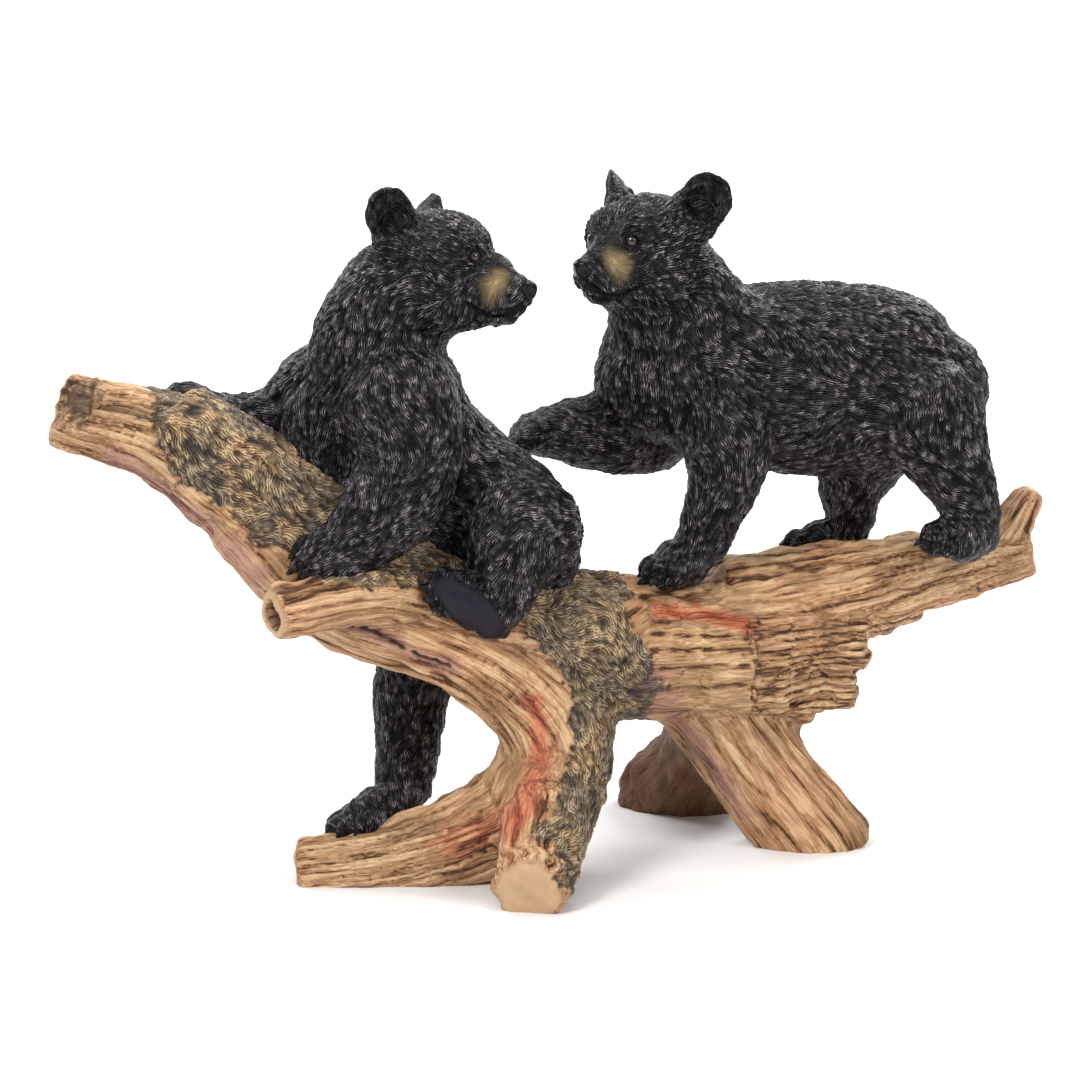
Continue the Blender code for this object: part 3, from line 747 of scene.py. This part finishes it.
def paw(place, toward, up, length, width, thick):
    """The palm and toes of a paw, and its claws; toward is where they point."""
    toward = Vector(toward).normalized()
    side = Vector(up).cross(toward).normalized()
    up = toward.cross(side)
    turn = Matrix((toward, side, up)).transposed()
    half = length * UNIT / 2
    centre = drawn(*place)
    pads = [ball(centre - toward * half * 0.2, (half * 0.85, half * width * 0.88, half * thick), turn)]
    claws = []
    for toe in range(TOES):
        swing = TOE_SPREAD * (toe / (TOES - 1) - 0.5) * 2
        out = toward * math.cos(swing) * half * 0.70 + side * math.sin(swing) * half * width * 0.86
        knuckle = centre + out - up * half * thick * 0.2
        pads.append(ball(knuckle, (half * 0.34, half * 0.20, half * thick * 0.62), turn))
        way = (toward * 0.9 + side * math.sin(swing) * 0.35 - up * 0.55).normalized()
        tip = knuckle + toward * half * 0.26 - up * half * thick * 0.1
        claws.append((tip, way))
    return pads, claws


def claw(tip, way):
    """A claw that bends down, as two tapered lumps."""
    turn = way.to_track_quat("X", "Z").to_matrix()
    thick = (CLAW_LENGTH * 0.45, CLAW_RADIUS, CLAW_RADIUS)
    thin = (CLAW_LENGTH * 0.35, CLAW_RADIUS * 0.6, CLAW_RADIUS * 0.7)
    return [ball(tip + way * CLAW_LENGTH * 0.25, thick, turn),
            ball(tip + way * CLAW_LENGTH * 0.6, thin, turn)]


def in_head(points, skull):
    """The points as forward, left and up of a head, in drawing units."""
    return (points / UNIT - np.array(skull[0])) @ np.array(head_frame(*skull[1]))


def cub_skin(name, limbs, skull, paws):
    """A cub without its fur, and its claws' places."""
    masses, details = head(skull)
    for stations, depth in limbs.values():
        masses += limb(stations, depth)
    claws = []
    for row in paws:
        pads, ends = paw(*row)
        details += pads
        claws += ends
    core = moulded("core", masses, CORE_VOXEL, CUB_CORE_PASSES)
    form = moulded("form", [core] + details, CUB_VOXEL, FORM_PASSES)
    turn, at = head_places(skull)
    for side in (-1, 1):
        frame_of_ear, bowl, base = ear(skull, side)
        facing = frame_of_ear.col[0]
        hollow(form, bowl + facing * EAR_THICKNESS / 2, -facing, EAR_RADIUS * 0.8, EAR_BOWL_DEPTH)
        hollow(form, bowl.lerp(base, 0.5) + facing * EAR_THICKNESS * 0.6, -facing, EAR_RADIUS * 0.7,
               EAR_BOWL_DEPTH * 0.8)
        socket = turn @ Vector((-1, -side * 0.55, -0.1))
        hollow(form, at(42, side * 23, 9), socket, 10 * UNIT, 3 * UNIT)
        nostril = turn @ Vector((-1, side * 0.3, 0))
        hollow(form, at(82, side * 5, -15), nostril, 3.5 * UNIT, 3.5 * UNIT)
    nails = [lump for tip, way in claws for lump in claw(tip, way)]
    return moulded(name, [form] + nails, CUB_VOXEL, 2), claws


def eye_places(item, skull, eyes):
    """Where the face's surface is in front of each eye, and the way out of it."""
    turn, at = head_places(skull)
    places = []
    for side in (-1, 1):
        out = (turn @ Vector((1, side * 1.15, 0.12))).normalized()
        aim = at(eyes[0], side * eyes[1], eyes[2])
        hit, spot, _, _ = item.ray_cast(aim + out * 60 * UNIT, -out)
        places.append((spot if hit else aim, out))
    return places


def across_eye(away, out, up):
    """How far each point is across, up and out of an eye's middle."""
    high = (up - out * up.dot(out)).normalized()
    return [away @ np.array(way) for way in (high.cross(out), high, out)]


def lid_distance(points, eyes, up):
    """How far the points are from the nearest eye, in eye radii; the lids' opening is wider than high."""
    nearest = np.full(len(points), 99.0)
    for spot, out in eyes:
        across, rise, deep = across_eye(points - np.array(spot), out, up)
        nearest = np.minimum(nearest, np.sqrt(across ** 2 + (rise / 0.66) ** 2 + deep ** 2) / EYE_RADIUS)
    return nearest


def sole_share(points, normals):
    """1 on the bare sole that the climbing cub's near hind foot shows."""
    middle, reach, wide, along = SOLE
    away = points / UNIT - np.array(middle)
    run = away @ np.array(along)
    off = lengths(away - run[:, None] * np.array(along) - np.array([0, 1, 0]) * away[:, 1:2])
    sole = ease(1.1, 0.82, np.hypot(run / reach, off / wide)) * ease(-0.25, -0.6, normals[:, 1])
    return sole * (np.abs(away[:, 1]) < 22)


def cub(name, limbs, skull, sockets, paws, back, seed):
    """A cub's carved skin with the values that its paint reads, and its eyes."""
    item, claws = cub_skin(name, limbs, skull, paws)
    turn, at = head_places(skull)
    eyes = eye_places(item, skull, sockets)
    points, normals = surface_of(item)
    face = in_head(points, skull)
    forward, left, _ = face.T
    on_head = ease(70, 52, lengths(face + np.array([0, 0, -4])))
    nose = lengths((face - np.array([78, 0, -13])) / np.array([9, 11, 9]))
    ear_forward, ear_out, ear_up = skull[2]
    ear_bowls = np.array([(ear_forward, side * ear_out, ear_up) for side in (-1, 1)])
    on_ear = ease(32, 18, nearest_on(face, ear_bowls)[1])
    nails = tree_of([tip + way * CLAW_LENGTH * 0.5 for tip, way in claws])
    to_claw = np.array([nails.find(p)[2] for p in points]) / CLAW_LENGTH
    paws_fur = ease(0.8, 3.6, to_claw)
    bare = np.maximum(ease(1.15, 0.9, nose), ease(0.62, 0.45, to_claw))
    lids = lid_distance(points, eyes, turn.col[2])
    lips = ease(1.9, 0.4, seg_distance(face[:, (0, 2)], MOUTH_LINE)) * (forward > 30)
    slit = ease(1.2, 0.2, seg_distance(face[:, (1, 2)], LIP_SLIT)) * (forward > 66)
    lips = np.maximum(lips, slit)
    sole = sole_share(points, normals) if name == "climbing_cub" else np.zeros(len(points))

    # The fur sweeps back from the nose on the head, and along the limbs elsewhere
    sweep = flattened(points - np.array(at(70, 0, -8)), normals)
    lay = lay_of(points, normals, limbs, back) * (1 - on_head)[:, None] + sweep * on_head[:, None]
    stray = 0.5 * ripple(points, 0.10, seed) + 0.28 * ripple(points, 0.035, seed + 1)
    lay = turned(flattened(lay, normals), normals, stray)
    shortness = (1 - 0.45 * on_head - 0.15 * ease(30, 66, forward) * on_head) * (0.6 + 0.4 * paws_fur)
    patch = lengths((face - np.array([60, 0, -14])) / np.array([14, 60, 14.5]))
    tan = ease(1.5, 0.2, patch + 0.08 * ripple(points, 0.012, seed + 4))
    tan = tan * ease(5, 11, np.abs(left)) * on_head
    draw = np.random.default_rng(seed)
    chosen = draw.choice(len(points), len(points) // FUR_SPACING, replace=False)
    fur = locks(points, normals, lay, chosen, FUR_LENGTH, FUR_WIDTH, shortness, seed + 2)
    furry = (1 - bare) * (1 - sole) * (1 - 0.9 * lips) * ease(1.2, 2.0, lids)
    snout = ease(36, 58, forward) * on_head
    relief = fur * furry * (1 - 0.5 * snout)
    lift = (FUR_HEIGHT * (relief - 0.4 * furry) * (1 - 0.8 * snout) * (0.4 + 0.6 * paws_fur)
            * (1 - 0.5 * on_ear))
    lift += FUR_WAVE * ripple(points, 0.018, seed + 3) * furry * (1 - 0.5 * on_head)
    lift += (LID_HEIGHT * np.exp(-((lids - 1.3) / 0.38) ** 2) - SOCKET_DEPTH * ease(1.0, 0.75, lids)
             - LIP_DEPTH * lips)
    lift -= SOLE_DEPTH * sole
    set_points(item, points + normals * lift[:, None])
    # On the head the relief is raised, so the head's fur is painted lighter: a painted highlight that stands
    # in for the light falling on it.
    keep(item, relief=relief + 0.22 * on_head * (1 - bare), bare=bare, tan=tan, sole=sole,
         furry=furry * (1 - 0.75 * snout) * (1 - 0.4 * tan) * (1 - 0.4 * on_ear),
         dark=lips + ease(1.5, 1.1, lids))
    keep_directions(item, lay=lay, side=np.cross(normals, lay))
    return thinned(item, CUB_TRIANGLES), eyes


def broken_share(points):
    """1 where the heartwood is broken off in splinters, 0 elsewhere."""
    x, _, z = points.T / UNIT
    share = 0.15 * ease(BROKEN_FROM, BROKEN_FROM + 14, x)
    share += 0.85 * ease(BROKEN_EDGE, BROKEN_EDGE + 8, x)
    return share * ease(BROKEN_BELOW + 6, BROKEN_BELOW - 8, z) * ease(112, 122, z)


def split_share(points):
    """How strongly the upper heartwood is split into long ridges."""
    x, _, z = points.T / UNIT
    share = 0.45 * ease(165, 200, x) * ease(372, 350, x)
    return share * ease(BROKEN_BELOW - 2, BROKEN_BELOW + 8, z)


def broken_edge(points):
    """How far right each point is, with the waver of the ragged edge of the broken wood."""
    return points[:, 0] / UNIT + 5 * ripple(points, 0.022, 72) + 3 * ripple(points, 0.008, 73)


def stain(points, lines):
    """How strongly the stains along these lines colour each point."""
    most = np.zeros(len(points))
    for line, wide in lines:
        uneven = line_distance(points, line) + 0.25 * wide * ripple(points, 0.012, 17)
        most = np.maximum(most, ease(wide * 1.5, wide * 0.3, uneven))
    return most


def log_form():
    """The log with its ridges, boards and bores, but without the fine fibres and bark."""
    masses = []
    for stations, depth in list(LOG_LIMBS.values()) + list(BARK_LIMBS.values()):
        masses += limb(stations, depth, blunt=True)
    middle, radii = BACK_HEEL
    masses.append(ball(drawn(*middle), [r * UNIT for r in radii]))
    for x, y, z, radius in SPLINTERS:
        start = (x - SPLINTER_LENGTH, y - 8, z + 4, radius * 1.2)
        halfway = (x - SPLINTER_LENGTH / 2, y, z + 2, radius * 1.1)
        masses += limb([start, halfway, (x, y, z, radius)], 1.2, blunt=True)
    core = moulded("core", masses, CORE_VOXEL, LOG_CORE_PASSES)
    item = moulded("log_carved", [core], LOG_VOXEL, FORM_PASSES)
    points, normals = surface_of(item)
    ridges = grain_height(points, normals, GRAIN_LIMBS)
    boards = (planks(points, *LOWER_BOARDS)[0] * broken_share(points)
              + planks(points, *UPPER_BOARDS)[0] * split_share(points))
    # The front of the broken wood stands proud up to a ragged edge
    x, _, z = points.T / UNIT
    edge = broken_edge(points)
    front = ease(204, 198, z) * ease(118, 128, z) * ease(0.2, -0.3, normals[:, 1])
    proud = ease(BROKEN_EDGE + 1.5, BROKEN_EDGE - 1.5, edge) * ease(120, 140, x) * front
    carved = GRAIN_DEPTH * ridges + PLANK_STEP * boards + LEDGE_HEIGHT * proud
    set_points(item, points + normals * carved[:, None])
    hollow(item, drawn(*STUB_MOUTH), (0.83, 0.55, 0.1), STUB_BORE_RADIUS, STUB_BORE_DEPTH)
    hollow(item, drawn(*BEAM_MOUTH), (1, 0.8, -0.2), BEAM_BORE_RADIUS, BEAM_BORE_DEPTH)
    return moulded("log_carved", [item], LOG_VOXEL, 1)


def driftwood():
    """The log's carved skin, with the values that its paint reads."""
    item = log_form()
    points, normals = surface_of(item)
    x, y, z = points.T / UNIT
    ragged = 4 * ripple(points, 0.03, 5) + 2.5 * ripple(points, 0.009, 6)
    bark = ease(-1.2, 1.2, inside_outline(points[:, (0, 2)] / UNIT, BARK_OUTLINE) + ragged)
    plain = 1 - bark
    wood, cracks, ends, local, sure = fibres(points, normals, GRAIN_LIMBS)
    lay = lay_of(points, normals, GRAIN_LIMBS)
    stray = turned(lay, normals, 0.6 * ripple(points, 0.05, 7) + 0.25 * ripple(points, 0.016, 8))
    draw = np.random.default_rng(9)
    where = np.flatnonzero(bark > 0.3)
    chosen = draw.choice(where, len(where) // BARK_SPACING, replace=False)
    chips = locks(points, normals, stray, chosen, BARK_LENGTH, BARK_WIDTH, np.ones(len(points)), 10)

    # Stains, cracks and bores that the photograph shows on the front
    front = ease(0.1, -0.3, normals[:, 1])
    reds = np.maximum(stain(points, (RED_STREAK, RED_LENS)), 0.55 * stain(points, (RED_FAN,))) * front
    mauves = stain(points, (MAUVE_CRACK, MAUVE_EDGE, MAUVE_LEG, MAUVE_COLLAR)) * front
    outline = np.exp(-((line_distance(points, RED_LENS[0]) - 1.4 * RED_LENS[1]) / 1.6) ** 2) * front
    split = ease(2.5, 0.5, line_distance(points, MAUVE_CRACK[0]) + ripple(points, 0.01, 14)) * front
    groove = ease(GROOVE[1], 1, line_distance(points, GROOVE[0])) * front
    stub = lengths(points - np.array(drawn(*STUB_MIDDLE))) / STUB_BORE_RADIUS
    rot = lengths(points[:, (0, 2)] / UNIT - np.array(BEAM_HOLLOW)) * UNIT / BEAM_BORE_RADIUS
    rot += 2 * ease(-0.1, 0.4, normals[:, 1])
    spongy = ease(1.1, 0.45, rot + 0.25 * ripple(points, 0.007, 16))
    bores = np.maximum(ease(1.3, 0.6, stub), 0.9 * spongy)

    # Left of the ragged edge the wood is smooth between a few long grooves
    edge = broken_edge(points)
    cleft = np.exp(-((edge - BROKEN_EDGE - 1) / 2.5) ** 2) * ease(208, 200, z) * ease(114, 124, z)
    calm = ease(84, 96, x) * ease(BROKEN_EDGE + 4, BROKEN_EDGE - 4, edge) * front
    calm *= ease(206, 200, z) * ease(124, 134, z)
    wood += 0.55 * calm * (0.68 - wood)
    cracks = cracks * (1 - 0.85 * calm)
    seams = np.maximum(planks(points, *LOWER_BOARDS)[1] * broken_share(points), cleft * (x > 140)) * front
    seams = np.maximum(seams, 0.8 * planks(points, *UPPER_BOARDS)[1] * split_share(points) * front)
    lines = np.min([line_distance(points, line) for line in SPAR_GROOVES], axis=0)
    seams = np.maximum(seams, np.exp(-((lines + 0.8 * ripple(points, 0.012, 18)) / 1.6) ** 2) * front)
    cracks = np.maximum(cracks, seams)

    lift = (FIBRE_DEPTH * (wood - 0.5) - CRACK_DEPTH * cracks) * plain * (1 - 0.7 * ends)
    lift += (BARK_HEIGHT * (chips - 0.3) + BARK_THICKNESS) * bark
    lift += WOOD_WAVE * ripple(points, 0.022, 13) - SPLIT_DEPTH * split - GROOVE_DEPTH * groove
    lift += ROT_HEIGHT * ripple(points, 0.0085, 15) * ease(1.5, 1.0, rot)
    set_points(item, points + normals * lift[:, None])
    rims = 1.6 * ends * (1 - ends) * plain
    keep(item, relief=(wood - 0.8 * cracks) * plain + chips * bark, bark=bark, red=reds * plain,
         # dark paints the bores, the rotten hollow, the split and the groove near black, as painted shade in
         # these recesses, and also darkens the rims of the end faces and a line round the red lens.
         mauve=mauves, dark=np.max([bores, split, 0.6 * groove, rims, 0.5 * outline], axis=0),
         # under darkens the back and the lower part of the log: painted shade.
         sawn=ends * plain, under=ease(40, 120, y) * ease(150, 90, z),
         sure=np.clip(3 * sure, 0, 1) * (1 - ends))
    keep_directions(item, fibre=local, lay=stray, side=np.cross(normals, stray))
    return sawn_at_ground(thinned(item, LOG_TRIANGLES))


def paint(name, **values):
    """A material and its shader, with these values on the shader's own sockets."""
    material = bpy.data.materials.new(name)
    material.use_nodes = True
    shader = material.node_tree.nodes["Principled BSDF"]
    for socket, value in values.items():
        shader.inputs[socket.replace("_", " ")].default_value = value
    return material, shader


class Output:
    """The output of a paint node. Sums, differences and products of outputs are Math nodes."""

    def __init__(self, tree, socket):
        self.tree = tree
        self.socket = socket

    def __add__(self, other):
        return self.math("ADD", other)

    def __sub__(self, other):
        return self.math("SUBTRACT", other)

    def __rsub__(self, other):
        return node(self.tree, "Math", {0: other, 1: self}, 0, operation="SUBTRACT")

    def __mul__(self, other):
        return self.math("MULTIPLY", other)

    def math(self, kind, other):
        return node(self.tree, "Math", {0: self, 1: other}, 0, operation=kind)

    def dot(self, other):
        return node(self.tree, "VectorMath", {0: self, 1: other}, "Value", operation="DOT_PRODUCT")

    def beside(self, name):
        """Another output of the same node."""
        return Output(self.tree, self.socket.node.outputs[name])

    def under(self, share, colour, kind="MIX"):
        """This colour with another laid over it, by a share."""
        return node(self.tree, "Mix", {0: share, 6: self, 7: colour}, 2, data_type="RGBA", blend_type=kind)

    def to(self, shader, name):
        self.tree.links.new(self.socket, shader.inputs[name])


def node(tree, kind, inputs, output, **settings):
    """An output of a new node; its inputs are outputs, numbers, colours (tuples) or vectors (lists)."""
    made = tree.nodes.new("ShaderNode" + kind)
    for name, value in settings.items():
        setattr(made, name, value)
    for name, value in inputs.items():
        if isinstance(value, Output):
            tree.links.new(value.socket, made.inputs[name])
        else:
            made.inputs[name].default_value = (*value, 1) if isinstance(value, tuple) else value
    return Output(tree, made.outputs[output])


def read(tree, name, kind="Fac"):
    """What is kept at the vertices: a share, or with Vector as kind a direction or place."""
    return node(tree, "Attribute", {}, kind, attribute_name=name)


def noise(tree, scale, detail=4.0, place=None):
    place = place or node(tree, "TexCoord", {}, "Object")
    return node(tree, "TexNoise", {"Vector": place, "Scale": scale, "Detail": detail}, "Fac")


def ramp(value, *stops):
    """A colour for each value, between stops of (value, colour)."""
    colour = node(value.tree, "ValToRGB", {"Fac": value}, "Color")
    bar = colour.socket.node.color_ramp.elements
    bar[0].position, bar[0].color = stops[0][0], (*stops[0][1], 1)
    bar[1].position, bar[1].color = stops[-1][0], (*stops[-1][1], 1)
    for place, tone in stops[1:-1]:
        bar.new(place).color = (*tone, 1)
    return colour


def bumped(shader, height, distance, strength):
    settings = {"Height": height, "Distance": distance, "Strength": strength}
    node(height.tree, "Bump", settings, "Normal").to(shader, "Normal")


def tufts(tree, size, pitch, turning, wavering):
    """Fine strands in short overlapping tufts, each with its own turn and bend; from 0 to 1."""
    layers = []
    waver = (noise(tree, 0.5 / pitch, 2.0) - 0.5) * (pitch * wavering)
    for layer in range(2):
        shift = [0.413 * layer, 0.271 * layer, 0.159 * layer]
        place = node(tree, "TexCoord", {}, "Object")
        place = node(tree, "VectorMath", {0: place, 1: shift}, "Vector", operation="ADD")
        reach = node(tree, "TexVoronoi", {"Vector": place, "Scale": 1 / size}, "Distance")
        away = node(tree, "VectorMath", {0: place, 1: reach.beside("Position")}, "Vector",
                    operation="SUBTRACT")
        along = away.dot(read(tree, "lay", "Vector"))
        across = away.dot(read(tree, "side", "Vector"))
        chance = node(tree, "SeparateColor", {"Color": reach.beside("Color")}, "Red")
        across = across + along * ((chance - 0.5) * turning) + waver
        wave = across * (2 * math.pi / pitch) + chance.beside("Blue") * (2 * math.pi)
        strand = wave.math("SINE", 0) * 0.5 + 0.5
        reach = reach * 1.25
        shown = (1 - reach * reach).math("MAXIMUM", 0) * (along * (0.5 / size) + 0.75)
        layers.append(strand * shown)
    uneven = noise(tree, 0.35 / pitch, 2.0) * 1.2 + 0.55
    return layers[0].math("MAXIMUM", layers[1]) * uneven


def fur_paint():
    material, shader = paint("black_fur_paint")
    tree = material.node_tree
    bare = read(tree, "bare")
    sole = read(tree, "sole")
    strands = tufts(tree, FUR_TUFT, FUR_PITCH, 0.6, 1.2) * read(tree, "furry")
    relief = read(tree, "relief") * 0.5 + strands * 0.72
    patchy = ramp(noise(tree, 24), (0.34, (0.62, 0.59, 0.63)), (0.66, (1.30, 1.21, 1.27)))
    # The crests of the strands are painted pale grey: partly dry-brushed paint, partly a painted highlight
    # that stands in for the glints of light on them.
    coat = ramp(relief, (0.0, (0.0015, 0.0013, 0.0014)), (0.42, (0.004, 0.0035, 0.004)),
                (0.60, (0.016, 0.014, 0.016)), (0.78, (0.070, 0.064, 0.070)), (0.95, (0.30, 0.28, 0.30)))
    coat = coat.under(1.0, patchy, "MULTIPLY")
    tan = read(tree, "tan")
    gold = ramp(relief, (0.0, (0.22, 0.14, 0.055)), (0.3, (0.42, 0.31, 0.14)), (0.8, (0.66, 0.55, 0.32)))
    coat = coat.under((tan * 2.2).math("MINIMUM", 0.75), BROWN_FUR)
    coat = coat.under(tan.math("POWER", 1.1), gold)
    coat = coat.under(sole, SOLE_SKIN).under(bare, NOSE_SKIN).under(read(tree, "dark"), LIP_BLACK)
    coat.to(shader, "Base Color")
    (bare * -0.14 + 0.34).to(shader, "Roughness")
    # The grooves between the strands catch no light
    shine = relief * relief * 0.75 + 0.09 + (bare + sole * 0.4) * 0.1
    shine.to(shader, "Specular IOR Level")
    bumped(shader, strands + noise(tree, 900, 2.0) * 0.10, 0.0016, 1.0)
    return material


def log_paint():
    material, shader = paint("driftwood_paint", Specular_IOR_Level=0.3)
    tree = material.node_tree
    kept_relief = read(tree, "relief")
    mauve = read(tree, "mauve")
    bark = read(tree, "bark")
    thin = (noise(tree, 650, 2, read(tree, "fibre", "Vector")) - 0.5) * (read(tree, "sure") * 1.6)
    relief = kept_relief + thin
    broad = noise(tree, 9)
    wood = ramp(relief, (0.0, (0.045, 0.018, 0.007)), (0.16, (0.14, 0.063, 0.026)),
                (0.38, (0.33, 0.18, 0.088)), (0.66, (0.47, 0.29, 0.16)), (1.0, (0.66, 0.48, 0.30)))
    wood = wood.under(1.0, ramp(broad, (0.35, (1.0, 0.98, 0.90)), (0.68, (0.92, 0.77, 0.68))), "MULTIPLY")
    blotch = ramp(noise(tree, 34, 5.0), (0.50, (0, 0, 0)), (0.68, (1, 1, 1)))
    red = ramp(relief, (0.0, (0.12, 0.020, 0.008)), (0.5, (0.38, 0.075, 0.032)), (1.0, (0.58, 0.22, 0.11)))
    wine = ramp(relief, (0.0, (0.10, 0.025, 0.030)), (1.0, (0.36, 0.17, 0.145)))
    wood = wood.under(blotch * 0.5, BROWN_WASH)
    wood = wood.under(read(tree, "sawn") * 0.5, SAWN_WOOD).under(read(tree, "under") * 0.85, SHADED_WOOD)
    wood = wood.under(read(tree, "red") * 0.88, red).under(mauve * 0.65, wine)
    shreds = tufts(tree, BARK_TUFT, BARK_PITCH, 1.1, 1.1)
    moss = ramp(kept_relief * 0.55 + shreds * 0.6, (0.04, (0.010, 0.007, 0.005)),
                (0.26, (0.062, 0.045, 0.028)), (0.52, (0.22, 0.16, 0.10)), (0.85, (0.68, 0.54, 0.34)))
    tinge = ramp(noise(tree, 30), (0.38, (0.50, 0.49, 0.52)), (0.52, (0.82, 0.78, 0.72)),
                 (0.68, (1.05, 0.86, 0.66)))
    moss = moss.under(1.0, tinge, "MULTIPLY").under(mauve * 0.7, WINE_BARK)
    # The bores, the rotten hollow, the split and the groove get painted shade here; the rims of the end
    # faces and the line round the red lens are darkened too.
    coat = wood.under(bark, moss).under(read(tree, "dark") * 0.93, HOLLOW_DARK)
    coat.to(shader, "Base Color")
    (broad * 0.25 + 0.42).to(shader, "Roughness")
    bumped(shader, thin + noise(tree, 420, 4.0) * 0.4 + bark * shreds, 0.0012, 0.9)
    return material


def eye_paint():
    material, shader = paint("eye_paint", Roughness=0.1, Coat_Weight=0.6, Coat_Roughness=0.05)
    iris = ramp(read(material.node_tree, "rim"), (0.0, (0.003, 0.002, 0.002)), (0.36, (0.005, 0.003, 0.003)),
                (0.44, (0.045, 0.024, 0.010)), (0.62, (0.085, 0.050, 0.024)), (0.74, (0.005, 0.004, 0.003)))
    iris.to(shader, "Base Color")
    return material


def eye(name, spot, out, up, shift):
    """A glazed eye in its socket; rim is 0 at its middle, and high at its edge and under the lids."""
    centre = Vector(spot) - out * EYE_RADIUS * 0.55
    sphere = bmesh.new()
    bmesh.ops.create_uvsphere(sphere, u_segments=32, v_segments=20, radius=EYE_RADIUS)
    turn = out.to_track_quat("Z", "Y").to_matrix().to_4x4()
    bmesh.ops.transform(sphere, matrix=turn, verts=sphere.verts)
    item = built(name, sphere)
    points = points_of(item)
    across, rise, _ = [share / EYE_RADIUS for share in across_eye(points, out, up)]
    lids = 0.68 + 2 * (np.hypot(across / 0.98, (rise + 0.08) / 0.58) - 1)
    keep(item, rim=np.maximum(np.hypot(across, rise), lids))
    set_points(item, points + np.array(centre) - shift)
    return item


def camera_and_stage(shift):
    """The photograph's viewpoint, a pale floor and soft studio lights."""
    aim = Vector((-shift[0], -shift[1], AIM_HEIGHT))
    back = Vector((0, -math.cos(CAMERA_PITCH), math.sin(CAMERA_PITCH)))
    camera = new_object("camera", bpy.data.cameras.new("camera"))
    camera.data.lens = LENS
    camera.data.sensor_width = 36
    camera.location = aim + back * CAMERA_DISTANCE
    camera.rotation_euler = (-back).to_track_quat("-Z", "Y").to_euler()
    bpy.context.scene.camera = camera

    # A glowing white sweep starts where the floor ends, and curves up far behind
    curve = [(FLOOR_BACK, 0.0), (SWEEP_START, 0.0)]
    for i in range(1, 13):
        angle = math.pi / 2 * i / 12
        curve.append((SWEEP_START + SWEEP_RADIUS * math.sin(angle), SWEEP_RADIUS * (1 - math.cos(angle))))
    curve.append((SWEEP_START + SWEEP_RADIUS, SWEEP_HEIGHT))
    for name, profile, glow in (("floor", [(FLOOR_FRONT, 0.0), curve[0]], 0.0), ("sweep", curve, 1.0)):
        sheet = bmesh.new()
        rows = [[sheet.verts.new((x, y, z)) for y, z in profile] for x in (-STAGE_HALF, STAGE_HALF)]
        for a, b, c, d in zip(rows[0], rows[0][1:], rows[1], rows[1][1:]):
            sheet.faces.new((a, c, d, b))
        ground = built(name, sheet)
        ground.data.shade_smooth()
        material, _ = paint(name + "_paint", Roughness=0.85, Base_Color=(0.86, 0.86, 0.86, 1),
                            Emission_Color=(1, 1, 1, 1), Emission_Strength=glow)
        ground.data.materials.append(material)

    for name, place, size, power in LAMPS:
        lamp = new_object(name, bpy.data.lights.new(name, "AREA"))
        lamp.data.size = size
        lamp.data.energy = power
        lamp.location = place
        lamp.rotation_euler = (LAMP_AIM - Vector(place)).to_track_quat("-Z", "Y").to_euler()
    world = bpy.data.worlds.new("studio")
    bpy.context.scene.world = world
    world.use_nodes = True
    sky = world.node_tree.nodes["Background"].inputs
    sky["Color"].default_value = (1, 1, 1, 1)
    sky["Strength"].default_value = SKY_STRENGTH
    bpy.context.scene.view_settings.view_transform = "Standard"


def dressed(piece, node, material, shift):
    """Sets a finished piece in its node's place."""
    set_points(piece, points_of(piece) - shift)
    piece.data.shade_smooth()
    piece.data.materials.clear()
    piece.data.materials.append(material)
    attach(piece, "root")
    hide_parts(node)


def main():
    log = driftwood()
    cloud = points_of(log)
    low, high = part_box("log")
    shift = (cloud.min(axis=0) + cloud.max(axis=0)) / 2 - (np.array(low) + np.array(high)) / 2
    shift[2] = 0
    wood = log_paint()
    fur = fur_paint()
    glaze = eye_paint()
    for piece in halved(log, drawn(112, 0, 0), (1, 0.25, 0), ("log_left", "log_right")):
        dressed(piece, "log", wood, shift)
    for name, (place, direction, *row) in CUBS.items():
        whole, eyes = cub(name, *row)
        up = head_frame(*row[1][1]).col[2]
        for side, (spot, out) in zip(("right", "left"), eyes):
            iris = eye(name + "_eye_" + side, spot, out, up, shift)
            iris.data.shade_smooth()
            iris.data.materials.append(glaze)
            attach(iris, "root")
        for piece in halved(whole, drawn(*place), direction, (name + "_front", name + "_rear")):
            dressed(piece, name, fur, shift)
    camera_and_stage(shift)


main()
